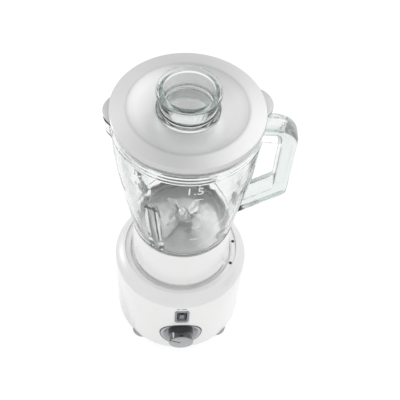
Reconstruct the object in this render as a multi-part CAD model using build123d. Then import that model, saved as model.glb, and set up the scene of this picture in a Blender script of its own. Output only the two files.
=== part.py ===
"""Countertop blender, one STEP file per separate piece.

Millimetres. The origin lies on the blade axis in the plane of the feet.
+Z points up and the knob faces -Y.
"""
import os
from math import radians, sqrt, tan

from build123d import *

# Clearances
RUN_GAP = 0.05
SLIDE_GAP = 0.4
FIT_GAP = 0.2

# Base shell
FOOT_H = 6.0
FOOT_R = 13.0
FOOT_INSET = 11.5
FOOT_EDGE = 1.0
FOOT_STEM_R = 3.0
BASE_R = 80.0
BASE_H = 111.0
BASE_ROUND = 2.2
SHELL_T = 2.8
PLATE_T = 3.0
RIM_LEDGE_T = 2.5
RIM_LEDGE_W = 18.0
COVER_INSET = 6.0
SCREW_INSET = 14.0
SCREW_TURN = 22.5
SCREW_BOSS_R = 4.5
SCREW_R = 1.8
SCREW_HEAD_R = 3.4
SCREW_HEAD_H = 1.8
SCREW_LENGTH = 12.0
VENT_COUNT = 16
VENT_W = 4.0
VENT_IN = 20.0
VENT_OUT = 50.0

# Silver top cover with the drip ledge
SHOULDER_H = 14.3
SHOULDER_W = 11.8
SHOULDER_BULGE = 2.2
LEDGE_W = 9.2
LEDGE_DEPTH = 3.5
DECK_T = 3.0
DECK_HOLE_R = 30.0
SPIGOT_H = 6.0
SPIGOT_T = 2.4
ROLL_INSET = 5.2
ROLL_W = 3.2
ROLL_D = 2.0
MARK_R = 1.9
MARK_H = 0.3
MARK_INSET = 3.4

# Jug seat and bayonet
COLLAR_T = 2.8
SEAT_SPACE = 2.0
SEAT_H = 18.0
SEAT_T = 7.5
SEAT_TOP_T = 3.0
SEAT_SCREW_L = 8.0
SEAT_SCREW_TURN = 25.0
LUG_COUNT = 3
LUG_TURN = 150.0
LUG_ANGLE = 12.0
LUG_REACH = 3.5
LUG_RISE = 4.0
LUG_H = 5.0
LOCK_TURN = 28.0
LOCK_START = -23.3
PRONG_ANGLE = 4.0
PIN_R = 1.5
PIN_RISE = 6.0
PIP_R = 2.2
PIP_TURN = -31.0
ANGLE_GAP = 0.7

# Motor
SHAFT_R = 4.0
POST_RING_R = 58.0
POST_R = 5.5
POST_H = 8.0
MOUNT_H = 5.0
MOUNT_R = 7.0
BRACKET_T = 4.0
BRACKET_W = 24.0
BRACKET_LAP = 10.0
ARM_W = 10.0
ARM_EYE = 1.5
BEARING_R = 9.0
BEARING_H = 10.0
BEARING_WALL = 3.0
STACK_H = 34.0
STATOR_W = 80.0
STATOR_D = 76.0
YOKE_T = 8.0
ROTOR_R = 17.8
AIR_GAP = 0.5
SHOE_T = 3.6
NECK_W = 22.0
COIL_T = 7.0
COIL_SPACE = 3.0
COMMUTATOR_R = 11.0
COMMUTATOR_H = 12.0
BRUSH_W = 6.0
BRUSH_L = 16.0
HOLDER_T = 1.6
FAN_R = 36.0
FAN_H = 10.0
FAN_BLADES = 9
SEAL_R = 8.0
SEAL_H = 5.0

# Couplings
DOG_COUNT = 4
DOG_ANGLE = 16.0
DOG_REST = 30.0
DOG_IN = 6.0
DOG_OUT = 13.5
DOG_H = 11.0
DOG_BASE_T = 3.0
DOG_LIFT = 4.0
CUP_WALL = 2.5
CUP_TOP_T = 4.5

# Knob and its switch
KNOB_SHARE = 0.35
KNOB_R = 15.5
KNOB_DRAFT = 0.5
KNOB_PROUD = 11.5
KNOB_SKIN = 2.5
KNOB_EDGE = 1.5
POINTER_W = 2.2
POINTER_D = 0.9
POINTER_TURN = -28.0
SPINDLE_R = 3.0
BEZEL_R = 26.5
BEZEL_RIM = 1.0
BEZEL_PROUD = 0.6
BEZEL_SINK = 6.5
BEZEL_FLOOR_R = 17.0
BEZEL_T = 3.0
SWITCH_W = 30.0
SWITCH_D = 17.0

# Push button and its switch
BUTTON_DROP = 21.25
BUTTON_W = 11.4
BUTTON_H = 21.5
BUTTON_PROUD = -1.4
BUTTON_TRAVEL = 3.0
BUTTON_BACK = 10.0
BUTTON_LIP = 2.0
PAD_H = 10.8
PAD_W = 6.8
PAD_TOP_W = 4.4
PAD_PROUD = 0.3
FRAME_W = 17.5
FRAME_H = 29.0
FRAME_SAG = 1.8
FRAME_PROUD = 0.8
FRAME_EDGE = 0.7
FRAME_WALL = 1.4
STEM_R = 2.5
CLIP_T = 2.0
CLIP_H = 12.0
PULSE_D = 14.0

# Cord inlet
INLET_Z = 32.0
INLET_R = 6.0
INLET_FLANGE_R = 8.5
INLET_BORE_R = 3.6
INLET_PROUD = 3.0

# Jug collar and glass
COLLAR_LIFT = 3.0
COLLAR_H = 63.7
COLLAR_TAPER = 2.0
COLLAR_ROUND = 2.4
NECK_DROP = 9.0
NECK_T = 4.7
NECK_LIP = 4.0
GASKET_T = 2.0
FLANGE_T = 1.5
WEB_T = 4.0
WEB_W = 12.0
JUG_H = 175.5
HEEL = 3.0
JUG_FLARE = 17.6
JUG_BULGE_LOW = 2.3
JUG_BULGE_HIGH = 4.4
GLASS_T = 4.5
RIM_BAND_H = 20.0
RIM_PROUD = 1.0
RIB_COUNT = 4
RIB_R = 8.0
RIB_H = 92.0
RIB_TURN = 62.0
JUG_TURN = -4.0
SPOUT_TURN = 188.0
SPOUT_R = 16.0
SPOUT_REACH = 5.7
SPOUT_LIP = 17.0
SPOUT_DROP = 28.0
SPOUT_BACK = 2.4
HANDLE_REACH = 36.0
HANDLE_W = 25.0
HANDLE_ROUND = 6.0
GRIP_T = 16.5
HANDLE_TOP_DROP = 6.5
UPPER_ARM_T = 21.0
HANDLE_H = 104.8
LOWER_ARM_T = 11.8
ARM_SLOPE = 38.5

# Blade unit
DISH_RISE = 6.0
DISH_HUB_R = 16.0
DISH_EDGE = 8.0
BUSH_R = 9.0
BUSH_FLANGE_R = 13.0
BUSH_FLANGE_T = 2.5
BUSH_NOSE_R = 7.0
BUSH_NOSE_H = 1.5
BUSH_LENGTH = 19.0
BUSH_NUT_T = 6.0
BUSH_NUT_R = 14.0
COLLAR_RING_R = 7.0
COLLAR_RING_T = 1.5
STUD_R = 3.0
BLADE_T = 1.6
BLADE_HUB_R = 9.0
BLADE_TURN = -45.0
BLADE_W = 13.0
UPPER_REACH = 28.0
LOWER_REACH = 34.0
UPPER_BEND = 38.0
LOWER_BEND = -14.0
WASHER_R = 6.5
WASHER_T = 1.0
NUT_R = 5.5
NUT_T = 4.5

# Lid
LID_PROUD = 0.5
LID_EDGE_T = 5.5
LID_T = 2.6
LID_CROWN = 1.2
STEP_R = 59.0
STEP_W = 16.0
STEP_DROP = 3.6
STEP_BLEND = 2.5
LID_ROUND = 1.6
THROAT_H = 38.0
THROAT_T = 2.2
PLUG_GAP = 2.2
PLUG_T = 2.4
PLUG_H = 13.0
SEAL_RING_H = 5.0
SEAL_RING_T = 1.8
SEAL_GROOVE = 1.0
TAB_R = 22.5
TAB_REACH = 7.6
SPOUT_TAB_REACH = 5.8
TAB_T = 3.0
TAB_TURN = 8.0
SPOUT_TAB_TURN = 179.6

# Measuring cup
CUP_R = 31.6
CUP_H = 27.5
CUP_BEAD_H = 4.0
CUP_BEAD_DROP = 0.6
CUP_WALL_IN = 2.6
CUP_T = 5.0
CUP_LIP_H = 4.0
CUP_FLOOR_T = 4.5
CUP_PLUG_H = 12.0
CUP_PLUG_T = 3.2
CUP_HOLE_R = 28.0

# Heights that follow from the sizes above
Z_BASE = FOOT_H
Z_PLATE = Z_BASE + PLATE_T
Z_RIM_LEDGE = Z_PLATE + RIM_LEDGE_T
Z_SHOULDER = Z_BASE + BASE_H
KNOB_Z = Z_BASE + KNOB_SHARE * BASE_H
BUTTON_Z = Z_SHOULDER - BUTTON_DROP
Z_CREST = Z_SHOULDER + SHOULDER_H
Z_DECK = Z_CREST - LEDGE_DEPTH
Z_DECK_UNDER = Z_DECK - DECK_T
Z_SEAT_TOP = Z_DECK + SEAT_H
Z_COLLAR = Z_DECK + COLLAR_LIFT
Z_GLASS = Z_COLLAR + COLLAR_H
Z_NECK = Z_GLASS - NECK_DROP
Z_FLANGE = Z_NECK - GASKET_T
Z_WEB = Z_FLANGE - FLANGE_T
Z_RIM = Z_GLASS + JUG_H
Z_LID_TOP = Z_RIM + LID_EDGE_T
Z_LID_DISH = Z_LID_TOP + LID_CROWN - STEP_DROP
Z_POST = Z_DECK_UNDER - POST_H
Z_BRACKET = Z_POST - MOUNT_H
Z_BRACKET_UNDER = Z_BRACKET - BRACKET_T
Z_COIL_TOP = Z_BRACKET_UNDER - COIL_SPACE
Z_STACK_TOP = Z_COIL_TOP - COIL_T
Z_STACK = Z_STACK_TOP - STACK_H
Z_COMMUTATOR_TOP = Z_STACK - 5.0
Z_COMMUTATOR = Z_COMMUTATOR_TOP - COMMUTATOR_H
Z_BRUSH = Z_COMMUTATOR + COMMUTATOR_H / 2
Z_FAN_TOP = Z_COMMUTATOR - 3.0
Z_FAN = Z_FAN_TOP - FAN_H
Z_LOWER_BEARING = Z_FAN - 2.0 - BEARING_H
Z_DRIVE = Z_SEAT_TOP + DOG_LIFT
Z_DOG = Z_DRIVE + DOG_BASE_T
Z_DOG_TOP = Z_DOG + DOG_H
Z_DRIVEN = Z_DOG_TOP + 2.0

# Radii that follow from the sizes above
SHELL_IN_R = BASE_R - SHELL_T
PLATE_R = BASE_R - COVER_INSET
FOOT_RING_R = BASE_R - FOOT_INSET
SCREW_RING_R = BASE_R - SCREW_INSET
LEDGE_R = BASE_R - SHOULDER_W
COLLAR_FOOT_R = LEDGE_R - LEDGE_W
COLLAR_IN_R = COLLAR_FOOT_R - COLLAR_T
SEAT_R = COLLAR_IN_R - SEAT_SPACE
CHANNEL_IN_R = SEAT_R + SLIDE_GAP
SLOT_R = SEAT_R - LUG_REACH - SLIDE_GAP
LUG_R = SEAT_R - LUG_REACH
GLASS_R = COLLAR_FOOT_R - COLLAR_TAPER
NECK_R = GLASS_R - NECK_LIP
NECK_IN_R = NECK_R - NECK_T
JUG_TOP_R = GLASS_R + JUG_FLARE
RIM_R = JUG_TOP_R + RIM_PROUD
RIM_IN_R = JUG_TOP_R - GLASS_T
LID_R = RIM_R + LID_PROUD
BEZEL_FLOOR_Y = BASE_R - BEZEL_SINK
BEZEL_BACK_Y = BEZEL_FLOOR_Y - BEZEL_T
BUTTON_FRONT_Y = BASE_R + BUTTON_PROUD
BUTTON_BACK_Y = BASE_R - BUTTON_BACK
STATOR_BORE_R = ROTOR_R + AIR_GAP
DISH_R = NECK_R

QUARTERS = (45, 135, 225, 315)
UP = (Align.CENTER, Align.CENTER, Align.MIN)


def disc(radius, z0, z1):
    return Pos(0, 0, z0) * Cylinder(radius, z1 - z0, align=UP)


def ring(outer, inner, z0, z1):
    return disc(outer, z0, z1) - disc(inner, z0, z1)


def block(x0, x1, y0, y1, z0, z1):
    box = Box(x1 - x0, y1 - y0, z1 - z0)
    return Pos((x0 + x1) / 2, (y0 + y1) / 2, (z0 + z1) / 2) * box


def spun(*corners):
    """Turned solid from (radius, height) corners."""
    return revolve(Plane.XZ * make_face(Polyline(*corners, close=True)), Axis.Z)


def spun_lines(*lines):
    """Turned solid from joined lines and curves in the (radius, height) plane."""
    return revolve(Plane.XZ * make_face(list(lines)), Axis.Z)


def sector(inner, outer, start, size, z0, z1):
    """Part of a ring between two angles in degrees."""
    far = CenterArc((0, 0), outer, start, size)
    near = CenterArc((0, 0), inner, start, size)
    sides = [Line(far @ 0, near @ 0), Line(far @ 1, near @ 1)]
    return Pos(0, 0, z0) * extrude(make_face([far, near] + sides), z1 - z0)


def around(shape, angles):
    return [Rot(0, 0, angle) * shape for angle in angles]


def even(count, start=0.0):
    return [start + 360.0 * i / count for i in range(count)]


def facing_front(shape, height):
    """Stand a piece made along +Z on the front, its own Z pointing to -Y."""
    return Plane.XZ * Pos(0, height, 0) * shape


def joined(shapes):
    total = shapes[0]
    for shape in shapes[1:]:
        total = total + shape
    return total


def edges_at(shape, z):
    return shape.edges().filter_by_position(Axis.Z, z - 0.01, z + 0.01)


def hexagon(radius, z0, z1):
    return Pos(0, 0, z0) * extrude(RegularPolygon(radius, 6), z1 - z0)


# Base shell
def motor_housing():
    body = disc(BASE_R, Z_BASE, Z_SHOULDER)
    body = fillet(edges_at(body, Z_BASE), BASE_ROUND)
    body -= disc(SHELL_IN_R, Z_RIM_LEDGE, Z_SHOULDER)
    body -= disc(BASE_R - RIM_LEDGE_W, Z_PLATE, Z_RIM_LEDGE)
    body -= disc(PLATE_R + FIT_GAP, Z_BASE, Z_PLATE)
    boss = disc(SCREW_BOSS_R, Z_PLATE, Z_PLATE + SCREW_LENGTH)
    hole = disc(SCREW_R, Z_PLATE, Z_PLATE + SCREW_LENGTH - 1)
    for angle in even(4, SCREW_TURN):
        place = Rot(0, 0, angle) * Pos(SCREW_RING_R, 0, 0)
        body += place * boss
        body -= place * hole
    body -= facing_front(disc(BEZEL_R + FIT_GAP, BASE_R / 2, BASE_R + 5), KNOB_Z)
    sleeve = Rectangle(BUTTON_W + 2 * (SLIDE_GAP + FRAME_WALL + FIT_GAP),
                       BUTTON_H + 2 * (SLIDE_GAP + FRAME_WALL + FIT_GAP))
    body -= facing_front(Pos(0, 0, BASE_R / 2) * extrude(sleeve, BASE_R), BUTTON_Z)
    inlet = disc(INLET_R, BASE_R / 2, BASE_R + 5)
    body -= Rot(0, 0, 180) * facing_front(inlet, INLET_Z)
    return body


def bottom_cover():
    plate = disc(PLATE_R, Z_BASE, Z_PLATE)
    slot = Pos((VENT_IN + VENT_OUT) / 2, 0, Z_BASE) * extrude(SlotOverall(VENT_OUT - VENT_IN, VENT_W), PLATE_T)
    for cut in around(slot, even(VENT_COUNT)):
        plate -= cut
    stem = disc(FOOT_STEM_R, Z_BASE, Z_PLATE)
    for angle in QUARTERS:
        plate -= Rot(0, 0, angle) * Pos(FOOT_RING_R, 0, 0) * stem
    screw = disc(SCREW_R, Z_BASE, Z_PLATE) + disc(SCREW_HEAD_R, Z_BASE, Z_BASE + SCREW_HEAD_H)
    for angle in even(4, SCREW_TURN):
        plate -= Rot(0, 0, angle) * Pos(SCREW_RING_R, 0, 0) * screw
    return plate


def rubber_feet():
    pad = disc(FOOT_R, 0, Z_BASE)
    pad = chamfer(edges_at(pad, 0), FOOT_EDGE)
    foot = pad + disc(FOOT_STEM_R, Z_BASE, Z_PLATE)
    return [Rot(0, 0, a) * Pos(FOOT_RING_R, 0, 0) * foot for a in QUARTERS]


def cover_screws():
    head = disc(SCREW_HEAD_R, Z_BASE, Z_BASE + SCREW_HEAD_H)
    head -= block(-SCREW_HEAD_R, SCREW_HEAD_R, -0.5, 0.5, Z_BASE, Z_BASE + 0.9)
    screw = head + disc(SCREW_R, Z_BASE + SCREW_HEAD_H, Z_PLATE + SCREW_LENGTH - 2)
    return [Rot(0, 0, a) * Pos(SCREW_RING_R, 0, 0) * screw for a in even(4, SCREW_TURN)]


def shoulder(outer, crest, low, high):
    """Filled dome whose flank bulges between the shell and the ledge."""
    run = outer - crest
    rise = high - low
    length = sqrt(run * run + rise * rise)
    middle = ((outer + crest) / 2 + SHOULDER_BULGE * rise / length, (low + high) / 2 + SHOULDER_BULGE * run / length)
    flank = ThreePointArc((outer, low), middle, (crest, high))
    return spun_lines(flank, Line((crest, high), (0, high)), Line((0, high), (0, low)), Line((0, low), (outer, low)))


def collar_channel():
    """Groove under the collar into which the ledge rolls down."""
    edge = (LEDGE_R - ROLL_INSET, Z_DECK)
    foot = (LEDGE_R - ROLL_INSET - ROLL_W, Z_DECK - ROLL_D)
    roll = TangentArc(edge, foot, tangent=(-1, 0))
    rest = Polyline(foot, (CHANNEL_IN_R, Z_DECK - ROLL_D), (CHANNEL_IN_R, Z_DECK), edge)
    return spun_lines(roll, rest)


def top_cover():
    inner = SHELL_IN_R - FIT_GAP
    body = shoulder(BASE_R, LEDGE_R, Z_SHOULDER, Z_CREST)
    body += disc(inner, Z_SHOULDER - SPIGOT_H, Z_SHOULDER)
    body -= shoulder(inner - SPIGOT_T, LEDGE_R - SPIGOT_T, Z_SHOULDER, Z_DECK_UNDER)
    body -= disc(inner - SPIGOT_T, Z_SHOULDER - SPIGOT_H, Z_SHOULDER)
    body -= disc(LEDGE_R, Z_DECK, Z_CREST)
    body += ring(LEDGE_R - ROLL_INSET + ROLL_D, CHANNEL_IN_R, Z_DECK_UNDER - ROLL_D, Z_DECK_UNDER)
    body -= collar_channel()
    body -= disc(DECK_HOLE_R, Z_DECK_UNDER, Z_DECK)
    post = disc(POST_R, Z_POST, Z_DECK_UNDER)
    hole = disc(SCREW_R, Z_POST, Z_DECK_UNDER)
    for angle in QUARTERS:
        place = Rot(0, 0, angle) * Pos(POST_RING_R, 0, 0)
        body += place * post
        body -= place * hole
    screw = disc(SCREW_R, Z_DECK_UNDER, Z_DECK)
    for angle in seat_screw_angles():
        body -= Rot(0, 0, angle) * Pos(SEAT_SCREW_R, 0, 0) * screw
    return body


def lock_marks():
    dot = Pos(LEDGE_R - MARK_INSET, 0, 0) * disc(MARK_R, Z_DECK, Z_DECK + MARK_H)
    return around(dot, (LOCK_START, LOCK_START + LOCK_TURN))


# Jug seat and bayonet
SEAT_SCREW_R = SEAT_R - SEAT_T / 2
Z_LUG = Z_DECK + LUG_RISE
Z_LUG_TOP = Z_LUG + LUG_H
LUG_ANGLES = even(LUG_COUNT, LUG_TURN)
HALF_LUG = LUG_ANGLE / 2
HALF_SLIDER = HALF_LUG + ANGLE_GAP + PRONG_ANGLE


def seat_screw_angles():
    return [angle - SEAT_SCREW_TURN for angle in LUG_ANGLES]


def switch_pin(radius, end):
    """Pin through the seat wall behind the locked end of the slider."""
    start = SEAT_R - SEAT_T - 3.0
    pin = Pos(start, 0, Z_DECK + PIN_RISE) * Rot(0, 90, 0) * Cylinder(radius, end - start, align=UP)
    return Rot(0, 0, LUG_ANGLES[0] + LOCK_TURN) * pin


def jug_seat():
    body = disc(SEAT_R, Z_DECK, Z_SEAT_TOP)
    body = fillet(edges_at(body, Z_SEAT_TOP), 2.0)
    body -= disc(SEAT_R - SEAT_T, Z_DECK, Z_SEAT_TOP - SEAT_TOP_T)
    body -= disc(SEAL_R, Z_DECK, Z_SEAT_TOP)
    for number, angle in enumerate(LUG_ANGLES):
        margin = HALF_LUG + ANGLE_GAP
        floor = Z_LUG
        if number == 0:
            floor = Z_DECK
        entry = sector(SLOT_R, BASE_R, angle - margin, 2 * margin, floor, Z_SEAT_TOP)
        if number == 0:
            margin = HALF_SLIDER + ANGLE_GAP
        run = sector(SLOT_R, BASE_R, angle - margin, 2 * margin + LOCK_TURN, floor, Z_LUG_TOP + SLIDE_GAP)
        body = body - entry - run
    body -= switch_pin(PIN_R + FIT_GAP, SLOT_R + 1)
    screw = disc(SCREW_R, Z_DECK, Z_DECK + SEAT_SCREW_L + 1)
    for angle in seat_screw_angles():
        body -= Rot(0, 0, angle) * Pos(SEAT_SCREW_R, 0, 0) * screw
    return body


def seat_screws():
    screw = disc(SCREW_HEAD_R, Z_DECK_UNDER - SCREW_HEAD_H, Z_DECK_UNDER)
    screw += disc(SCREW_R, Z_DECK_UNDER, Z_DECK + SEAT_SCREW_L)
    return [Rot(0, 0, a) * Pos(SEAT_SCREW_R, 0, 0) * screw for a in seat_screw_angles()]


def interlock_slider():
    inner = SLOT_R + SLIDE_GAP
    outer = SEAT_R - FIT_GAP
    angle = LUG_ANGLES[0]
    body = sector(inner, outer, angle - HALF_SLIDER, 2 * HALF_SLIDER, Z_DECK + FIT_GAP, Z_LUG - SLIDE_GAP)
    for start in (angle - HALF_SLIDER, angle + HALF_SLIDER - PRONG_ANGLE):
        body += sector(inner, outer, start, PRONG_ANGLE, Z_DECK + FIT_GAP, Z_LUG_TOP - SLIDE_GAP)
    return body


def interlock_switch():
    angle = LUG_ANGLES[0] + LOCK_TURN
    front = SEAT_R - SEAT_T - 3.0
    case = block(front - 9, front - 1, -10, 10, Z_DECK, Z_DECK + 11)
    lever = block(front - 1, front, -8, 4, Z_DECK + 4, Z_DECK + 8)
    pins = [block(front - 14, front - 9, y - 1.5, y + 1.5, Z_DECK + 3, Z_DECK + 3.6) for y in (-6, 0, 6)]
    return Rot(0, 0, angle) * joined([case, lever] + pins) + switch_pin(PIN_R, SLOT_R)


# Motor
def stator_core():
    outline = RectangleRounded(STATOR_W, STATOR_D, 8)
    outline -= RectangleRounded(STATOR_W - 2 * YOKE_T, STATOR_D - 2 * YOKE_T, 5)
    shoe = Circle(STATOR_BORE_R + SHOE_T) - Circle(STATOR_BORE_R)
    reach = STATOR_D / 2 - YOKE_T / 2
    pole = Pos(0, reach / 2 + 4) * Rectangle(NECK_W, reach - 8) - Circle(STATOR_BORE_R)
    horn = shoe & (Pos(0, STATOR_BORE_R) * Rectangle(2 * STATOR_BORE_R - 4, 2 * STATOR_BORE_R - 8))
    for turn in (0, 180):
        outline += Rot(0, 0, turn) * pole
        outline += Rot(0, 0, turn) * horn
    return Pos(0, 0, Z_STACK) * extrude(outline, STACK_H)


def field_coils():
    depth0 = STATOR_BORE_R + SHOE_T + 0.3
    depth1 = STATOR_D / 2 - YOKE_T - 0.3
    half = NECK_W / 2 + 0.3
    coil = block(-half - COIL_T, half + COIL_T, depth0, depth1, Z_STACK - COIL_T, Z_STACK_TOP + COIL_T)
    coil = fillet(coil.edges().filter_by(Axis.Y), 5.0)
    coil -= block(-half, half, depth0, depth1, Z_STACK - 0.1, Z_STACK_TOP + 0.1)
    return around(coil, (0, 180))


def bracket_legs(z0, z1):
    half = BRACKET_W / 2
    leg = block(STATOR_W / 2, STATOR_W / 2 + BRACKET_T, -half, half, z0, z1)
    return around(leg, (0, 180))


def upper_bracket():
    reach = STATOR_W / 2 + BRACKET_T
    body = block(-reach, reach, -BRACKET_W / 2, BRACKET_W / 2, Z_BRACKET_UNDER, Z_BRACKET)
    arm = block(0, POST_RING_R, -ARM_W / 2, ARM_W / 2, Z_BRACKET_UNDER, Z_BRACKET)
    arm += Pos(POST_RING_R, 0, 0) * disc(POST_R + ARM_EYE, Z_BRACKET_UNDER, Z_BRACKET)
    body = joined([body] + around(arm, QUARTERS) + bracket_legs(Z_STACK_TOP - BRACKET_LAP, Z_BRACKET_UNDER))
    body += disc(BEARING_R + BEARING_WALL, Z_BRACKET_UNDER, Z_BRACKET_UNDER + BEARING_H)
    body -= disc(BEARING_R, Z_BRACKET_UNDER, Z_BRACKET_UNDER + BEARING_H)
    hole = disc(SCREW_R + FIT_GAP, Z_BRACKET_UNDER, Z_BRACKET)
    for angle in QUARTERS:
        body -= Rot(0, 0, angle) * Pos(POST_RING_R, 0, 0) * hole
    return body


def lower_bracket():
    reach = STATOR_W / 2 + BRACKET_T
    middle = Z_LOWER_BEARING + 2
    body = block(-reach, reach, -BRACKET_W / 2, BRACKET_W / 2, middle, middle + BRACKET_T)
    body = joined([body] + bracket_legs(middle, Z_STACK + BRACKET_LAP))
    body += disc(BEARING_R + BEARING_WALL, Z_LOWER_BEARING, Z_LOWER_BEARING + BEARING_H)
    body -= disc(BEARING_R, Z_LOWER_BEARING, Z_LOWER_BEARING + BEARING_H)
    return body


def upper_bearing():
    return ring(BEARING_R, SHAFT_R + RUN_GAP, Z_BRACKET_UNDER, Z_BRACKET_UNDER + BEARING_H)


def lower_bearing():
    return ring(BEARING_R, SHAFT_R + RUN_GAP, Z_LOWER_BEARING, Z_LOWER_BEARING + BEARING_H)


def motor_mounts():
    mount = ring(MOUNT_R, SCREW_R + FIT_GAP, Z_BRACKET, Z_POST)
    return [Rot(0, 0, a) * Pos(POST_RING_R, 0, 0) * mount for a in QUARTERS]


def mount_screws():
    screw = disc(SCREW_HEAD_R, Z_BRACKET_UNDER - SCREW_HEAD_H, Z_BRACKET_UNDER)
    screw += disc(SCREW_R, Z_BRACKET_UNDER, Z_POST + POST_H - 1)
    return [Rot(0, 0, a) * Pos(POST_RING_R, 0, 0) * screw for a in QUARTERS]


def brush_start():
    return COMMUTATOR_R + SLIDE_GAP


def carbon_brushes():
    half = BRUSH_W / 2
    start = brush_start()
    brush = block(start, start + BRUSH_L, -half, half, Z_BRUSH - half, Z_BRUSH + half)
    return around(brush, (0, 180))


def brush_holders():
    half = BRUSH_W / 2
    wall = half + HOLDER_T
    start = brush_start() + 2
    reach = STATOR_W / 2
    tube = block(start, reach, -wall, wall, Z_BRUSH - wall, Z_BRUSH + wall)
    tube -= block(start, brush_start() + BRUSH_L, -half, half, Z_BRUSH - half, Z_BRUSH + half)
    return around(tube, (0, 180))


def motor_shaft():
    return disc(SHAFT_R, Z_LOWER_BEARING - 1, Z_DOG_TOP - 2)


def rotor_core():
    slot = block(ROTOR_R - 6, ROTOR_R + 1, -1, 1, Z_STACK, Z_STACK_TOP)
    body = ring(ROTOR_R, SHAFT_R, Z_STACK, Z_STACK_TOP)
    for cut in around(slot, even(10)):
        body -= cut
    return body


def commutator():
    return ring(COMMUTATOR_R, SHAFT_R, Z_COMMUTATOR, Z_COMMUTATOR_TOP)


def cooling_fan():
    body = disc(FAN_R, Z_FAN_TOP - 1.5, Z_FAN_TOP) + disc(SHAFT_R + 4, Z_FAN, Z_FAN_TOP)
    vane = Pos(FAN_R * 0.6, 0, Z_FAN) * Rot(0, 0, 30) * Box(FAN_R * 0.65, 1.6, FAN_H - 1.5, align=UP)
    body = joined([body] + around(vane, even(FAN_BLADES)))
    return body - disc(SHAFT_R, Z_FAN, Z_FAN_TOP)


def shaft_seal():
    body = ring(SEAL_R, SHAFT_R + SLIDE_GAP, Z_SEAT_TOP - SEAT_TOP_T, Z_SEAT_TOP)
    return body + ring(SEAL_R - 2, SHAFT_R + SLIDE_GAP, Z_SEAT_TOP, Z_SEAT_TOP - SEAT_TOP_T + SEAL_H)


# Couplings
def drive_coupling():
    body = disc(DOG_OUT, Z_DRIVE, Z_DOG) + disc(DOG_IN, Z_DOG, Z_DOG_TOP - 2)
    for angle in even(DOG_COUNT):
        body += sector(DOG_IN - 1, DOG_OUT, angle - DOG_ANGLE / 2, DOG_ANGLE, Z_DOG, Z_DOG_TOP)
    return body - disc(SHAFT_R, Z_DRIVE, Z_DOG_TOP - 2)


def driven_coupling():
    wall = DOG_OUT + SLIDE_GAP
    outer = wall + CUP_WALL
    low = Z_DOG + 1.5
    body = disc(outer, low, Z_DRIVEN + CUP_TOP_T)
    body = fillet(edges_at(body, Z_DRIVEN + CUP_TOP_T), 2.0)
    body -= disc(wall, low, Z_DRIVEN)
    for angle in even(DOG_COUNT, DOG_REST):
        body += sector(DOG_IN + SLIDE_GAP, wall + 1, angle - DOG_ANGLE / 2, DOG_ANGLE, low + 0.5, Z_DRIVEN)
    return body - disc(SHAFT_R, Z_DRIVEN, Z_DRIVEN + CUP_TOP_T)


# Knob and its switch
def knob_bezel():
    blank = disc(BEZEL_R, BEZEL_BACK_Y, BASE_R + 5)
    body = facing_front(blank, KNOB_Z) & disc(BASE_R + BEZEL_PROUD, 0, Z_SHOULDER)
    rim = BEZEL_R - BEZEL_RIM
    slope = (rim - BEZEL_FLOOR_R) / BEZEL_SINK
    top = BASE_R + 5
    dish = spun((0, BEZEL_FLOOR_Y), (BEZEL_FLOOR_R, BEZEL_FLOOR_Y), (rim + 5 * slope, top), (0, top))
    body -= facing_front(dish, KNOB_Z)
    return body - facing_front(disc(SPINDLE_R + SLIDE_GAP, BEZEL_BACK_Y, BASE_R), KNOB_Z)


def speed_knob():
    back = BEZEL_FLOOR_Y + SLIDE_GAP
    front = BASE_R + KNOB_PROUD
    body = spun((0, back), (KNOB_R + KNOB_DRAFT, back), (KNOB_R, front), (0, front))
    body = fillet(edges_at(body, front), KNOB_EDGE)
    hollow = KNOB_R - KNOB_SKIN
    body -= ring(hollow, SPINDLE_R + 3, back, front - 4)
    groove = block(-KNOB_R - 1, -1, -POINTER_W / 2, POINTER_W / 2, front - POINTER_D, front + 1)
    body = body - Rot(0, 0, POINTER_TURN) * groove - disc(SPINDLE_R, back, front - 4)
    return facing_front(body, KNOB_Z)


def knob_spindle():
    start = BEZEL_BACK_Y - SWITCH_D + 4
    return facing_front(disc(SPINDLE_R, start, BASE_R + KNOB_PROUD - 4), KNOB_Z)


def speed_switch():
    half = SWITCH_W / 2
    back = BEZEL_BACK_Y - SWITCH_D
    body = Pos(0, 0, back) * extrude(RectangleRounded(SWITCH_W, SWITCH_W, 3), SWITCH_D - 4)
    body += disc(7, BEZEL_BACK_Y - 4, BEZEL_BACK_Y)
    body -= disc(SPINDLE_R + SLIDE_GAP, back + 3, BEZEL_BACK_Y)
    tabs = [block(x - 2.4, x + 2.4, half - 6, half - 5.2, back - 6, back) for x in (-9, 0, 9)]
    return facing_front(joined([body] + tabs), KNOB_Z)


# Push button and its switch
def button_frame():
    open_w = BUTTON_W + 2 * SLIDE_GAP
    open_h = BUTTON_H + 2 * SLIDE_GAP
    sleeve_w = open_w + 2 * FRAME_WALL
    sleeve_h = open_h + 2 * FRAME_WALL
    start = BUTTON_BACK_Y + 2.0
    flange = Pos(0, 0, BASE_R - 5) * extrude(RectangleRounded(FRAME_W, FRAME_H, 4.5), 5 + FRAME_PROUD)
    flange = fillet(edges_at(flange, BASE_R + FRAME_PROUD), FRAME_EDGE)
    flange = facing_front(flange, BUTTON_Z - FRAME_SAG) - disc(BASE_R, 0, Z_CREST)
    sleeve = Pos(0, 0, start) * extrude(Rectangle(sleeve_w, sleeve_h), BASE_R + 1 - start)
    clip_start = BUTTON_BACK_Y - PULSE_D
    clip = block(open_w / 2, open_w / 2 + CLIP_T, -CLIP_H / 2, CLIP_H / 2, clip_start, start)
    clips = clip + mirror(clip, Plane.YZ)
    opening = Pos(0, 0, start) * extrude(RectangleRounded(open_w, open_h, 1.5), BASE_R)
    return flange + facing_front(sleeve + clips, BUTTON_Z) - facing_front(opening, BUTTON_Z)


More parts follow.
